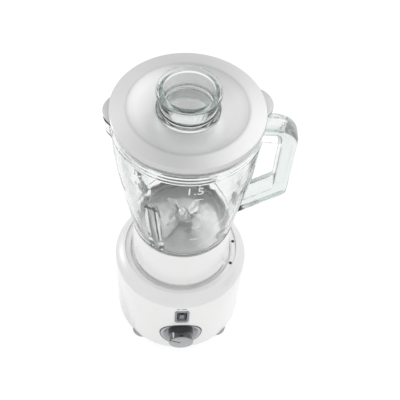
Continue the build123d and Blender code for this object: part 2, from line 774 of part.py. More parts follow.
def pulse_button():
    start = BUTTON_BACK_Y
    body = Pos(0, 0, start) * extrude(RectangleRounded(BUTTON_W, BUTTON_H, 1.2), BUTTON_FRONT_Y - start)
    body = fillet(edges_at(body, BUTTON_FRONT_Y), 1.0)
    dent = Pos(0, 0, BUTTON_FRONT_Y + 17.2) * Sphere(18)
    lip = block(-BUTTON_W / 2, BUTTON_W / 2, -BUTTON_H / 2 - BUTTON_LIP, BUTTON_H / 2 + BUTTON_LIP, start, start + 1.6)
    stem = disc(STEM_R, start - 6, start)
    low = 1.0 - BUTTON_H / 2
    wide = PAD_W / 2
    slim = PAD_TOP_W / 2
    pad = make_face(Polyline((-wide, low), (wide, low), (slim, low + PAD_H), (-slim, low + PAD_H), close=True))
    pad = Pos(0, 0, BUTTON_FRONT_Y - 2) * extrude(pad, 2 + PAD_PROUD)
    return facing_front(body - dent + pad + lip + stem, BUTTON_Z)


def pulse_switch():
    front = BUTTON_BACK_Y - BUTTON_TRAVEL - 0.5
    back = front - PULSE_D
    half = BUTTON_W / 2 + SLIDE_GAP
    body = block(-half, half, -8, 8, back, front)
    body -= disc(STEM_R + SLIDE_GAP, front - BUTTON_TRAVEL - 4, front)
    tabs = [block(-2.4, 2.4, y, y + 0.8, back - 6, back) for y in (-5, 4)]
    return facing_front(joined([body] + tabs), BUTTON_Z)


def cord_inlet():
    inner = SHELL_IN_R - 5
    body = disc(INLET_R, inner, BASE_R + INLET_PROUD)
    flange = disc(INLET_FLANGE_R, BASE_R - 3, BASE_R + INLET_PROUD)
    flange = fillet(edges_at(flange, BASE_R + INLET_PROUD), 1.2)
    turn = Rot(0, 0, 180)
    bush = turn * facing_front(flange, INLET_Z) - disc(BASE_R, 0, Z_SHOULDER)
    bush += turn * facing_front(body, INLET_Z)
    return bush - turn * facing_front(disc(INLET_BORE_R, inner, BASE_R + 10), INLET_Z)


# Jug
def jug_collar():
    slope = COLLAR_TAPER / COLLAR_H
    at_web = COLLAR_IN_R - slope * (Z_WEB - WEB_T - Z_COLLAR)
    body = spun((0, Z_COLLAR), (COLLAR_FOOT_R, Z_COLLAR), (GLASS_R, Z_GLASS), (0, Z_GLASS))
    body = fillet(edges_at(body, Z_COLLAR), COLLAR_ROUND)
    body -= spun((0, Z_COLLAR), (COLLAR_IN_R, Z_COLLAR), (at_web, Z_WEB - WEB_T), (0, Z_WEB - WEB_T))
    body -= disc(NECK_R - WEB_W, Z_WEB - WEB_T, Z_WEB)
    body -= disc(NECK_R + SLIDE_GAP, Z_WEB, Z_GLASS)
    for angle in LUG_ANGLES:
        body += sector(LUG_R, COLLAR_IN_R + COLLAR_T / 2, angle - HALF_LUG, LUG_ANGLE, Z_LUG, Z_LUG_TOP)
    pip = Pos(COLLAR_FOOT_R - PIP_R / 2, 0, Z_COLLAR + 2 * PIP_R) * Sphere(PIP_R)
    return body + Rot(0, 0, PIP_TURN) * pip


def wall_curve(inset):
    """Side of the glass from the foot to the rim, moved in by inset."""
    low = Z_GLASS + JUG_H * 0.27
    high = Z_GLASS + JUG_H * 0.61
    foot = GLASS_R - inset
    points = [(foot, Z_GLASS), (foot + JUG_FLARE * 0.27 + JUG_BULGE_LOW, low)]
    points += [(foot + JUG_FLARE * 0.61 + JUG_BULGE_HIGH, high), (foot + JUG_FLARE, Z_RIM)]
    return Spline(*points)


def glass_outer():
    side = wall_curve(0)
    body = spun_lines(side, Line(side @ 1, (0, Z_RIM)), Line((0, Z_RIM), (0, Z_GLASS)), Line((0, Z_GLASS), side @ 0))
    body = fillet(edges_at(body, Z_GLASS), HEEL)
    band = disc(RIM_R, Z_RIM - RIM_BAND_H, Z_RIM)
    return body + fillet(edges_at(band, Z_RIM - RIM_BAND_H), 3.0) + disc(NECK_R, Z_NECK, Z_GLASS)


def glass_inner():
    side = wall_curve(GLASS_T)
    top = side @ 1
    body = spun_lines(side, Line(top, (0, top.Y)), Line((0, top.Y), (0, Z_GLASS)), Line((0, Z_GLASS), side @ 0))
    foot = side @ 0
    blend = foot.X - NECK_IN_R
    cup = spun((0, Z_NECK), (NECK_IN_R, Z_NECK), (NECK_IN_R, Z_GLASS - blend * 0.2), (foot.X, Z_GLASS), (0, Z_GLASS))
    return body + cup


def spout_form(inset):
    """Beak as tall as the rim band that turns back into the wall below it."""
    reach = RIM_R + SPOUT_REACH - SPOUT_R
    rows = []
    for drop, share, back in ((SPOUT_DROP, 0.6, SPOUT_BACK), (SPOUT_LIP, 0.92, 0.0), (0.0, 1.0, 0.0)):
        rows.append(Pos(reach - back, 0, Z_RIM - drop) * Circle(SPOUT_R * share - inset))
    return Rot(0, 0, SPOUT_TURN) * loft(rows, ruled=True)


def handle_form():
    grip = JUG_TOP_R + HANDLE_REACH
    inside = grip - GRIP_T
    top = Z_RIM - HANDLE_TOP_DROP
    low = top - HANDLE_H
    rise = tan(radians(ARM_SLOPE))
    root = GLASS_R + 1
    outline = make_face(Polyline((JUG_TOP_R - 4, top), (grip, top), (grip, low), (root, low - rise * (grip - root)),
                                 (root, top - 60), close=True))
    outline = fillet(outline.vertices().sort_by_distance((grip, top))[0], 25)
    outline = fillet(outline.vertices().sort_by_distance((grip, low))[0], 9)
    under = top - UPPER_ARM_T
    over = low + LOWER_ARM_T
    gap = make_face(Polyline((0, under), (inside, under), (inside, over), (0, over - rise * inside), close=True))
    gap = fillet(gap.vertices().sort_by_distance((inside, under))[0], 6)
    gap = fillet(gap.vertices().sort_by_distance((inside, over))[0], 6)
    body = extrude(Plane.XZ * (outline - gap), HANDLE_W / 2, both=True)
    rims = body.edges().filter_by_position(Axis.Y, HANDLE_W / 2 - 0.01, HANDLE_W / 2 + 0.01)
    rims += body.edges().filter_by_position(Axis.Y, -HANDLE_W / 2 - 0.01, -HANDLE_W / 2 + 0.01)
    return fillet(rims, HANDLE_ROUND)


def glass_jug():
    hollow = glass_inner()
    outer = glass_outer() + spout_form(0) + handle_form()
    body = outer - hollow - spout_form(GLASS_T - 0.5)
    side = wall_curve(GLASS_T)
    share = RIB_H / JUG_H
    foot = side @ 0.0
    middle = side @ (share / 2)
    end = side @ share
    path = Plane.XZ * ThreePointArc(foot, middle, end)
    rib = sweep(Plane(path @ 0, z_dir=path % 0) * Circle(RIB_R), path)
    rib += Pos(end.X, 0, end.Y) * Sphere(RIB_R)
    rib = rib & glass_outer()
    for angle in even(RIB_COUNT, RIB_TURN):
        body += Rot(0, 0, angle) * rib
    return Rot(0, 0, JUG_TURN) * body


def jug_gasket():
    return ring(NECK_R - 0.4, NECK_IN_R, Z_FLANGE, Z_NECK)


# Blade unit
Z_HUB = Z_FLANGE + DISH_RISE
Z_BUSH_TOP = Z_HUB + BUSH_FLANGE_T + BUSH_NOSE_H
Z_BUSH = Z_BUSH_TOP - BUSH_LENGTH
Z_RING = Z_BUSH_TOP + SLIDE_GAP
Z_BLADE = Z_RING + COLLAR_RING_T


def blade_dish():
    edge = NECK_IN_R - DISH_EDGE
    skin = FLANGE_T
    top = [(DISH_R, Z_FLANGE), (edge, Z_FLANGE), (DISH_HUB_R, Z_HUB), (BUSH_R, Z_HUB)]
    under = [(BUSH_R, Z_HUB - skin), (DISH_HUB_R - 1, Z_HUB - skin), (edge - 1, Z_WEB), (DISH_R, Z_WEB)]
    return spun(*(top + under))


def blade_bearing():
    flange = Z_HUB + BUSH_FLANGE_T
    body = disc(BUSH_R, Z_BUSH, Z_HUB) + disc(BUSH_FLANGE_R, Z_HUB, flange) + disc(BUSH_NOSE_R, flange, Z_BUSH_TOP)
    return body - disc(SHAFT_R + RUN_GAP, Z_BUSH, Z_BUSH_TOP)


def bearing_nut():
    under = Z_HUB - FLANGE_T
    return hexagon(BUSH_NUT_R, under - BUSH_NUT_T, under) - disc(BUSH_R, under - BUSH_NUT_T, under)


def blade_shaft():
    stud = Z_BLADE + 2 * BLADE_T + WASHER_T + NUT_T
    return disc(SHAFT_R, Z_DRIVEN, Z_RING) + disc(COLLAR_RING_R, Z_RING, Z_BLADE) + disc(STUD_R, Z_BLADE, stud)


def blade(low, reach, bend):
    """Two swept wings bent out of a flat hub."""
    hub = disc(BLADE_HUB_R, 0, BLADE_T)
    half = BLADE_W / 2
    root = BLADE_HUB_R - 1.0
    outline = make_face(Polyline((root, -half), (reach * 0.62, -half), (reach, half * 0.2), (reach * 0.9, half * 0.75),
                                 (root, half * 0.75), close=True))
    wing = extrude(outline, BLADE_T)
    edge = wing.edges().filter_by_position(Axis.Y, -half - 0.01, -half + 0.01).sort_by(Axis.Z)[-1]
    wing = chamfer(edge, BLADE_T * 0.7, 3.2)
    turn = Pos(root, 0, 0) * Rot(0, -bend, 0) * Pos(-root, 0, 0)
    wings = around(turn * wing, (0, 180))
    return Pos(0, 0, low) * (joined([hub] + wings) - disc(STUD_R, 0, BLADE_T))


def lower_blade():
    return Rot(0, 0, BLADE_TURN + 90) * blade(Z_BLADE, LOWER_REACH, LOWER_BEND)


def upper_blade():
    return Rot(0, 0, BLADE_TURN) * blade(Z_BLADE + BLADE_T, UPPER_REACH, UPPER_BEND)


def blade_washer():
    low = Z_BLADE + 2 * BLADE_T
    return ring(WASHER_R, STUD_R, low, low + WASHER_T)


def blade_nut():
    low = Z_BLADE + 2 * BLADE_T + WASHER_T
    dome = (Pos(0, 0, low + NUT_T - 1) * Sphere(NUT_R * 0.85)) & disc(NUT_R, low + NUT_T, low + 3 * NUT_T)
    return hexagon(NUT_R, low, low + NUT_T) + dome - disc(STUD_R, low, low + NUT_T)


# Lid and measuring cup
PLUG_R = RIM_IN_R - PLUG_GAP
Z_PLUG = Z_RIM - PLUG_H


def lid_tab(reach):
    tab = Pos(LID_R + reach - TAB_R, 0, 0) * disc(TAB_R, Z_RIM, Z_RIM + TAB_T)
    tab = fillet(edges_at(tab, Z_RIM + TAB_T), 1.2)
    return tab - disc(PLUG_R + 2, Z_RIM, Z_RIM + TAB_T)


def lid():
    crown = Z_LID_TOP + LID_CROWN
    inner = STEP_R - STEP_W
    dish = Z_LID_DISH
    throat = CUP_HOLE_R + THROAT_T
    low = dish - THROAT_H
    under = dish - LID_T
    top = Polyline((PLUG_R, Z_RIM), (LID_R, Z_RIM), (LID_R, Z_LID_TOP), (STEP_R, crown))
    bowl = TangentArc((inner, dish), (STEP_R, crown), tangent=(1, 0))
    neck = Polyline((inner, dish), (CUP_HOLE_R, dish), (CUP_HOLE_R, low), (throat, low), (throat, under))
    plug = Polyline((throat, under), (inner + 1, under), (PLUG_R - PLUG_T, Z_RIM + 1), (PLUG_R - PLUG_T, Z_PLUG),
                    (PLUG_R, Z_PLUG), (PLUG_R, Z_RIM))
    body = spun_lines(top, bowl, neck, plug)
    body = fillet(edges_at(body, Z_LID_TOP), LID_ROUND)
    body = fillet(edges_at(body, crown), STEP_BLEND)
    body = body + Rot(0, 0, TAB_TURN) * lid_tab(TAB_REACH) + Rot(0, 0, SPOUT_TAB_TURN) * lid_tab(SPOUT_TAB_REACH)
    groove = Z_PLUG + (PLUG_H - SEAL_RING_H) / 2
    body -= ring(PLUG_R + 1, PLUG_R - SEAL_GROOVE, groove, groove + SEAL_RING_H)
    return body


def lid_gasket():
    low = Z_PLUG + (PLUG_H - SEAL_RING_H) / 2
    outer = PLUG_R - SEAL_GROOVE + SEAL_RING_T
    body = ring(outer, PLUG_R - SEAL_GROOVE, low, low + SEAL_RING_H)
    return body


def measuring_cup():
    seat = Z_LID_DISH
    top = seat + CUP_H
    bead = CUP_R - CUP_BEAD_DROP
    wall = CUP_R - CUP_WALL_IN
    plug = CUP_HOLE_R - SLIDE_GAP
    floor = seat + CUP_BEAD_H
    inner = wall - CUP_T
    lip = top - CUP_LIP_H
    outside = [(0, seat - CUP_PLUG_H), (plug, seat - CUP_PLUG_H), (plug, seat), (bead, seat), (bead, floor)]
    outside += [(wall, floor + 1.5), (wall, lip - 1.5), (CUP_R, lip), (CUP_R, top), (0, top)]
    body = spun(*outside)
    rims = [edge for z in (seat, floor, lip, top) for edge in edges_at(body, z) if edge.radius > wall + 1]
    body = fillet(rims, 1.2)
    body -= spun((0, floor), (inner, floor), (inner + 1.2, top), (0, top))
    under = floor - CUP_FLOOR_T
    return body - disc(plug - CUP_PLUG_T, seat - CUP_PLUG_H, under)


PIECES = {
    "motor_housing": motor_housing,
    "bottom_cover": bottom_cover,
    "rubber_feet": rubber_feet,
    "cover_screws": cover_screws,
    "top_cover": top_cover,
    "lock_marks": lock_marks,
    "jug_seat": jug_seat,
    "seat_screws": seat_screws,
    "interlock_slider": interlock_slider,
    "interlock_switch": interlock_switch,
    "stator_core": stator_core,
    "field_coils": field_coils,
    "upper_bracket": upper_bracket,
    "lower_bracket": lower_bracket,
    "upper_bearing": upper_bearing,
    "lower_bearing": lower_bearing,
    "motor_mounts": motor_mounts,
    "mount_screws": mount_screws,
    "carbon_brushes": carbon_brushes,
    "brush_holders": brush_holders,
    "motor_shaft": motor_shaft,
    "rotor_core": rotor_core,
    "commutator": commutator,
    "cooling_fan": cooling_fan,
    "shaft_seal": shaft_seal,
    "drive_coupling": drive_coupling,
    "driven_coupling": driven_coupling,
    "knob_bezel": knob_bezel,
    "speed_knob": speed_knob,
    "knob_spindle": knob_spindle,
    "speed_switch": speed_switch,
    "button_frame": button_frame,
    "pulse_button": pulse_button,
    "pulse_switch": pulse_switch,
    "cord_inlet": cord_inlet,
    "jug_collar": jug_collar,
    "glass_jug": glass_jug,
    "jug_gasket": jug_gasket,
    "blade_dish": blade_dish,
    "blade_bearing": blade_bearing,
    "bearing_nut": bearing_nut,
    "blade_shaft": blade_shaft,
    "lower_blade": lower_blade,
    "upper_blade": upper_blade,
    "blade_washer": blade_washer,
    "blade_nut": blade_nut,
    "lid": lid,
    "lid_gasket": lid_gasket,
    "measuring_cup": measuring_cup,
}

os.makedirs("parts", exist_ok=True)
for name, make in PIECES.items():
    made = make()
    shape = Compound([s for piece in made for s in piece.solids()]) if isinstance(made, list) else made
    shape.label = name
    export_step(shape, f"parts/{name}.step")
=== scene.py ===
"""Countertop blender: glass, finishes and stage around the packed model.

Lengths are in metres, in the frame of the packed model: +Z up along the blade axis, -Y toward the knob.
"""

from math import asin, atan2, cos, hypot, pi, radians, sin, sqrt, tan, tau

import bmesh
import bpy
from bpy.props import FloatProperty, FloatVectorProperty, IntProperty, PointerProperty
from mathutils import Matrix, Vector
from mathutils.bvhtree import BVHTree


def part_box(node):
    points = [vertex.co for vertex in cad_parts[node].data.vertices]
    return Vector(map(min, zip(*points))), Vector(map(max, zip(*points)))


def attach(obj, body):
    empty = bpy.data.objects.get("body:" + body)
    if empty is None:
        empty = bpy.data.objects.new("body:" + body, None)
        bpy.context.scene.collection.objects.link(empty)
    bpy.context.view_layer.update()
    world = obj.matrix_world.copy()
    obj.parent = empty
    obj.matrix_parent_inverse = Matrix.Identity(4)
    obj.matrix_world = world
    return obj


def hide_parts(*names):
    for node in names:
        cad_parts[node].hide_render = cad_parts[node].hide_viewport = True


bl_info = {
    "name": "Countertop blender",
    "version": (1, 0, 0),
    "blender": (4, 5, 0),
    "location": "View3D > Sidebar > Countertop blender",
    "description": "Glass jug, lid, cup, finishes and stage of a countertop blender",
    "category": "Object",
}

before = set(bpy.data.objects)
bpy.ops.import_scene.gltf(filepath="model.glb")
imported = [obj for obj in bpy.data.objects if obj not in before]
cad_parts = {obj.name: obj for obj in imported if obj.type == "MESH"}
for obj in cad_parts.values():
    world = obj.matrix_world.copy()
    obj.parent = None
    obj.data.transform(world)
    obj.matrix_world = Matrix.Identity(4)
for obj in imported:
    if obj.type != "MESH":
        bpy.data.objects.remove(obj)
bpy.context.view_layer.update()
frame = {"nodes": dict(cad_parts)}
NODES = frame["nodes"]
MM = 0.001
LATHE_STEPS = 360
# A round mask's centre and the axes that its radius is measured on
ROUND_AXIS = ((0, 0, 0), (1, 1, 0))
FROM_FRONT = (1, 0, 1)
# Most of a noise lies between these
NOISE_LOW, NOISE_HIGH = 0.3, 0.7


# Values a user would change
def length(name, text, value):
    return FloatProperty(name=name, description=text, default=value, unit="LENGTH", precision=5)


def turn(name, text, degrees):
    return FloatProperty(name=name, description=text, default=radians(degrees), subtype="ANGLE")


def colour(name, text, *value):
    return FloatVectorProperty(
        name=name, description=text, default=value, size=4, subtype="COLOR", min=0, max=1)


class JugSizes(bpy.types.PropertyGroup):
    """Glass jug."""

    neck_low: length("Neck underside", "Height of the underside of the neck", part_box("glass_jug")[0].z)
    foot_height: length("Foot height", "Height where the glass leaves the collar", 0.1945)
    rim_height: length("Rim height", "Height of the rim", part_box("glass_jug")[1].z)
    neck_radius: length("Neck radius", "Outside of the neck in the collar", 0.053)
    neck_hole: length("Neck hole", "Inside of the neck", 0.0483)
    foot_radius: length("Foot radius", "Outside of the wall at the collar", 0.057)
    low_radius: length("Lower belly radius", "Outside of the wall at 27% of its height", 0.06405)
    high_radius: length("Upper belly radius", "Outside of the wall at 61% of its height", 0.07214)
    top_radius: length("Top radius", "Outside of the wall at the rim", 0.0746)
    wall: length("Wall", "Thickness of the glass", 0.0045)
    band_height: length("Rim band height", "Height of the thicker band at the rim", 0.020)
    band_proud: length("Rim band proud", "How far the band stands out", 0.001)
    line_depth: length("Rim line depth", "Depth of the fine lines round the band", 0.00014)
    bead_height: length("Foot bead height", "Height of the bead just above the collar", 0.006)
    bead_proud: length("Foot bead proud", "How far the bead stands out", 0.0006)
    rib_radius: length("Rib radius", "Radius of the inner ribs", 0.008)
    rib_height: length("Rib height", "Height of the inner ribs", 0.092)
    rib_turn: turn("Rib turn", "Direction of the first rib", 58)
    spout_turn: turn("Spout turn", "Direction of the spout", 184)
    handle_turn: turn("Handle turn", "Direction of the handle", -4)
    handle_reach: length("Handle reach", "From the axis to the outside of the grip", 0.1103)
    grip: length("Grip thickness", "Thickness of the grip", 0.0165)
    handle_width: length("Handle width", "Width of the handle", 0.025)
    handle_round: length("Handle rounding", "Rounding of the handle's outer edges", 0.0072)
    grip_round: length("Grip rounding", "Rounding of the handle's inner edges", 0.003)
    tick_pitch: length("Tick pitch", "Height between two volume ticks", 0.0285)
    tick_count: IntProperty(name="Ticks", description="Number of volume ticks", default=4, min=2)


class TopSizes(bpy.types.PropertyGroup):
    """Lid and measuring cup."""

    lid_radius: length("Lid radius", "Outside of the lid", 0.0761)
    lid_edge: length("Lid edge", "Height of the lid's edge", 0.0055)
    step_radius: length("Step radius", "Radius where the lid steps down", 0.059)
    step_width: length("Step width", "Width of the hollow inside the step", 0.026)
    crown: length("Crown", "Rise of the lid from its edge to the step", 0.0012)
    step_drop: length("Step drop", "Depth of the inner dish", 0.0036)
    tab_radius: length("Tab radius", "Radius of a finger tab", 0.0225)
    tab_reach: length("Tab reach", "How far the tab over the handle stands out", 0.0076)
    spout_tab_reach: length("Spout tab reach", "How far the tab over the spout stands out", 0.00577)
    cup_radius: length("Cup radius", "Outside of the cup's lip", 0.0316)
    cup_height: length("Cup height", "Height of the cup above the lid", 0.02749)
    cup_wall: length("Cup wall", "Thickness of the cup", 0.005)


class CollarSizes(bpy.types.PropertyGroup):
    """White collar."""

    low: length("Underside", "Height of the collar's underside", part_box("jug_collar")[0].z)
    foot: length("Foot radius", "Outside of the collar at its foot", 0.059)
    inside: length("Inside radius", "Inside of the collar at its foot", 0.0562)
    foot_tall: length("Foot rounding", "How far up the foot is drawn in", 0.0072)
    lug_radius: length("Lug radius", "Inner end of the bayonet lugs", 0.0507)
    pip_radius: length("Pip radius", "Radius of the pip that lines up with the marks", 0.0022)


class Finishes(bpy.types.PropertyGroup):
    """Colours."""

    white: colour("White", "Gloss white of housing and collar", 0.88, 0.88, 0.875, 1)
    silver: colour("Silver", "Satin silver of the shoulder", 0.76, 0.76, 0.765, 1)
    # Ledge: painted light, lightening the ledge where it lies in the collar's shade
    ledge: colour("Ledge", "Lighter silver of the ledge round the collar", 0.88, 0.88, 0.885, 1)
    lid: colour("Lid", "Satin silver of the lid", 0.65, 0.65, 0.655, 1)
    glass: colour("Glass", "Tint of thick glass", 0.55, 0.66, 0.61, 1)
    bezel: colour("Bezel", "Grey of the dish behind the knob", 0.46, 0.47, 0.49, 1)
    knob: colour("Knob side", "Near black side of the knob", 0.018, 0.019, 0.02, 1)
    knob_face: colour("Knob face", "Grey face of the knob", 0.30, 0.31, 0.32, 1)
    frame: colour("Button frame", "Grey of the button's frame", 0.26, 0.27, 0.28, 1)
    button: colour("Button", "Near black of the push button", 0.018, 0.019, 0.021, 1)
    pad: colour("Button pad", "Grey of the raised pad on the button", 0.20, 0.21, 0.22, 1)
    steel: colour("Steel", "Pressed steel of the jug's floor", 0.52, 0.52, 0.525, 1)


class StageSettings(bpy.types.PropertyGroup):
    """Camera and light."""

    camera_place: FloatVectorProperty(
        name="Camera place", description="Where the camera stands", size=3, subtype="TRANSLATION",
        unit="LENGTH", default=(-0.037191, -0.472476, 0.885043))
    pitch: turn("Pitch", "How far the camera looks down", 54.255)
    yaw: turn("Yaw", "How far the camera looks to the right", 6.751)
    roll: turn("Roll", "How far the camera leans", 5.069)
    lens: FloatProperty(
        name="Lens", description="Focal length for a 36 mm sensor", default=65.16,
        subtype="DISTANCE_CAMERA")
    ambient: FloatProperty(name="Ambient", description="Light from all round", default=1.0, min=0)
    key: FloatProperty(
        name="Key light", description="Soft light from above", default=4.7, min=0, unit="POWER")


SETTINGS = {
    "jug": JugSizes, "top": TopSizes, "collar": CollarSizes, "finish": Finishes, "stage": StageSettings}


def settings(name):
    return getattr(bpy.context.scene, "countertop_" + name)


# Material building
def new_material(name):
    made = bpy.data.materials.new(name)
    made.use_nodes = True
    return made, made.node_tree, made.node_tree.nodes["Principled BSDF"]


def put(tree, node, inputs):
    """Link what is given as a socket, or as a node for its first output, and set the rest."""
    for name, value in inputs.items():
        if isinstance(value, bpy.types.Node):
            value = value.outputs[0]
        if isinstance(value, bpy.types.NodeSocket):
            tree.links.new(value, node.inputs[name])
        else:
            node.inputs[name].default_value = value


def add_node(tree, kind, inputs, **traits):
    made = tree.nodes.new(kind)
    for word, value in traits.items():
        setattr(made, word, value)
    put(tree, made, inputs)
    return made


def maths(tree, operation, *terms):
    return add_node(tree, "ShaderNodeMath", dict(enumerate(terms)), operation=operation)


def object_place(tree):
    return tree.nodes.new("ShaderNodeTexCoord").outputs["Object"]


def object_noise(tree, scale, detail=2.0, stretch=None):
    """Noise on Object coordinates, stretched where the finish has a direction."""
    source = object_place(tree)
    if stretch:
        source = add_node(tree, "ShaderNodeMapping", {"Vector": source, "Scale": stretch})
    return add_node(tree, "ShaderNodeTexNoise", {"Vector": source, "Scale": scale, "Detail": detail})


def two_tone(tree, factor, base, vary):
    """Darker and lighter shades of one colour."""
    ramp = add_node(tree, "ShaderNodeValToRGB", {"Fac": factor})
    for index, (position, share) in enumerate(((NOISE_LOW, 1 - vary), (NOISE_HIGH, 1 + vary))):
        stop = ramp.color_ramp.elements[index]
        stop.position, stop.color = position, shade(base, share)
    return ramp


def spread(tree, factor, low, high, start=NOISE_LOW, end=NOISE_HIGH):
    """What lies between start and end, fitted to low and high."""
    return add_node(tree, "ShaderNodeMapRange", {
        "Value": factor, "From Min": start, "From Max": end, "To Min": low, "To Max": high})


def raise_grain(tree, shader, factor, height):
    bump = add_node(tree, "ShaderNodeBump", {"Strength": 1.0, "Distance": height, "Height": factor})
    put(tree, shader, {"Normal": bump})


def shade(base, share):
    return (base[0] * share, base[1] * share, base[2] * share, 1.0)


def moulded(name, base, rough, grain=900.0, depth=2e-6, vary=0.02, **sockets):
    """Moulded or painted surface: slight cloud in the colour, fine grain in the gloss."""
    made, tree, shader = new_material(name)
    fine = object_noise(tree, grain)
    put(tree, shader, {
        "Base Color": two_tone(tree, object_noise(tree, 14.0, 3.0), base, vary),
        "Roughness": spread(tree, fine, rough * 0.88, rough * 1.12)})
    raise_grain(tree, shader, fine, depth)
    put(tree, shader, {word.replace("_", " "): value for word, value in sockets.items()})
    return made


def overpaint(made, factor, tone):
    """Second colour where factor is 1."""
    tree = made.node_tree
    base = tree.nodes["Principled BSDF"].inputs["Base Color"]
    first = base.links[0].from_socket
    mix = add_node(tree, "ShaderNodeMix", {"Factor": factor, "A": first, "B": tone}, data_type="RGBA")
    tree.links.new(mix.outputs["Result"], base)
    return made


def along(made, axis, start, end):
    """0 before start and 1 past end on one axis of the piece."""
    tree = made.node_tree
    split = add_node(tree, "ShaderNodeSeparateXYZ", {"Vector": object_place(tree)})
    return spread(tree, split.outputs[axis], 0.0, 1.0, start, end)


def outside(made, centre, flat, start, end):
    """0 within the radius start and 1 past end, round a line through centre."""
    tree = made.node_tree
    shift = add_node(tree, "ShaderNodeMapping", {
        "Vector": object_place(tree), "Location": [-value * keep for value, keep in zip(centre, flat)],
        "Scale": flat})
    far = add_node(tree, "ShaderNodeVectorMath", {0: shift}, operation="LENGTH")
    return spread(tree, far.outputs["Value"], 0.0, 1.0, start, end)


def ring(made, inner, outer, soft):
    """1 between two radii round the blade axis, fading out at both sides."""
    fades = (inner - soft, inner), (outer + soft, outer)
    return maths(made.node_tree, "MULTIPLY", *[outside(made, *ROUND_AXIS, *fade) for fade in fades])


def turned_metal(name, base, rough, rings=2600.0, vary=0.06):
    """Spun or ground metal: fine rings round the blade axis with a soft cloud over them."""
    made, tree, shader = new_material(name)
    wave = add_node(tree, "ShaderNodeTexWave", {
        "Vector": object_place(tree), "Scale": rings, "Distortion": 3.0, "Detail": 2.0,
        "Detail Scale": 0.6}, wave_type="RINGS", rings_direction="Z").outputs["Fac"]
    put(tree, shader, {
        "Base Color": two_tone(tree, object_noise(tree, 40.0, 4.0), base, vary),
        "Roughness": spread(tree, wave, rough * 0.8, rough * 1.2), "Metallic": 1.0})
    raise_grain(tree, shader, wave, 1.5e-6)
    return made


def pressed_glass(name, tint, density, streak):
    """Pressed glass: clear, a little uneven and streaky, green where light goes a long way through it."""
    made, tree, shader = new_material(name)
    wavy = object_noise(tree, 24.0)
    put(tree, shader, {
        "Transmission Weight": 1.0, "IOR": 1.5, "Base Color": (1.0, 1.0, 1.0, 1.0),
        "Roughness": spread(tree, wavy, 0.0, 0.06)})
    drawn = object_noise(tree, 75.0, 2.0, (1.0, 1.0, 0.3))
    raise_grain(tree, shader, maths(tree, "MULTIPLY_ADD", drawn, streak, wavy), 5e-4)
    depth = add_node(tree, "ShaderNodeVolumeAbsorption", {"Color": tint, "Density": density})
    put(tree, tree.nodes["Material Output"], {"Volume": depth})
    return made


# Mesh building
def place_object(name, data):
    made = bpy.data.objects.new(name, data)
    bpy.context.scene.collection.objects.link(made)
    return made


def plain_mesh(carrier):
    """Mesh that an object's modifiers or its text give; the object itself goes."""
    graph = bpy.context.evaluated_depsgraph_get()
    mesh = bpy.data.meshes.new_from_object(carrier.evaluated_get(graph))
    carrier.modifiers.clear()
    bpy.data.objects.remove(carrier)
    return mesh


def add_piece(name, mesh, body, material, nodes):
    made = place_object(name, mesh)
    if material is not None:
        mesh.materials.clear()
        mesh.materials.append(material)
    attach(made, body)
    if nodes:
        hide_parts(*nodes)
    return made


def smooth_mesh(mesh, angle=32.0):
    mesh.shade_smooth()
    mesh.set_sharp_from_angle(angle=radians(angle))


def settle(build, mesh):
    """Doubles merged and faces turned outward, written to the mesh."""
    bmesh.ops.remove_doubles(build, verts=build.verts, dist=1e-6)
    bmesh.ops.recalc_face_normals(build, faces=build.faces)
    build.to_mesh(mesh)
    build.free()
    return mesh


def mesh_from(name, points, faces):
    mesh = bpy.data.meshes.new(name)
    mesh.from_pydata(points, [], faces)
    build = bmesh.new()
    build.from_mesh(mesh)
    return settle(build, mesh)


def rounded(corners, steps=6, closed=True):
    """Corners given as (x, y, rounding), each replaced by an arc of that radius."""
    points = []
    count = len(corners)
    for index, (x, y, radius) in enumerate(corners):
        here = Vector((x, y))
        if radius <= 0 or (not closed and index in (0, count - 1)):
            points.append(here)
            continue
        back = (Vector(corners[index - 1][:2]) - here).normalized()
        ahead = (Vector(corners[(index + 1) % count][:2]) - here).normalized()
        half = back.angle(ahead) / 2
        centre = here + (back + ahead).normalized() * radius / sin(half)
        first = here + back * radius / tan(half) - centre
        last = here + ahead * radius / tan(half) - centre
        start = atan2(first.y, first.x)
        sweep = (atan2(last.y, last.x) - start + pi) % tau - pi
        for step in range(steps + 1):
            angle = start + sweep * step / steps
            points.append(centre + Vector((cos(angle), sin(angle))) * radius)
    return points


def skinned(name, points, size, direction):
    """Closed bar over rows of size points each, turned to a direction."""
    faces = []
    last = len(points) - size
    for here in range(0, last, size):
        for step in range(size):
            ahead = (step + 1) % size
            faces.append((here + step, here + ahead, here + size + ahead, here + size + step))
    faces += [tuple(range(size)), tuple(range(last, last + size))]
    mesh = mesh_from(name, points, faces)
    mesh.transform(Matrix.Rotation(direction, 4, "Z"))
    return mesh


def polar(reach, angle, height):
    return (reach * cos(angle), reach * sin(angle), height)


def quarter(steps):
    """Cosine and sine over a quarter turn."""
    angles = [pi / 2 * step / steps for step in range(steps + 1)]
    return [(cos(angle), sin(angle)) for angle in angles]


def lathe(name, profile, radius_at=None, segments=LATHE_STEPS):
    """Closed loop of (radius, height) turned about the axis; radius_at bends single rings."""
    rows = len(profile)
    points = []
    for step in range(segments):
        angle = tau * step / segments
        for index, (radius, height) in enumerate(profile):
            reach = radius_at(index, radius, height, angle) if radius_at else radius
            points.append(polar(reach, angle, height))
    faces = []
    for step in range(segments):
        here = step * rows
        there = (step + 1) % segments * rows
        for row in range(rows):
            up = (row + 1) % rows
            faces.append((here + row, there + row, there + up, here + up))
    return mesh_from(name, points, faces)


def fuse(mesh, other):
    """Two closed meshes made one."""
    main, extra = place_object("fuse_main", mesh), place_object("fuse_extra", other)
    join = main.modifiers.new("fuse", "BOOLEAN")
    join.operation, join.solver, join.object = "UNION", "MANIFOLD", extra
    made = plain_mesh(main)
    bpy.data.objects.remove(extra)
    return made


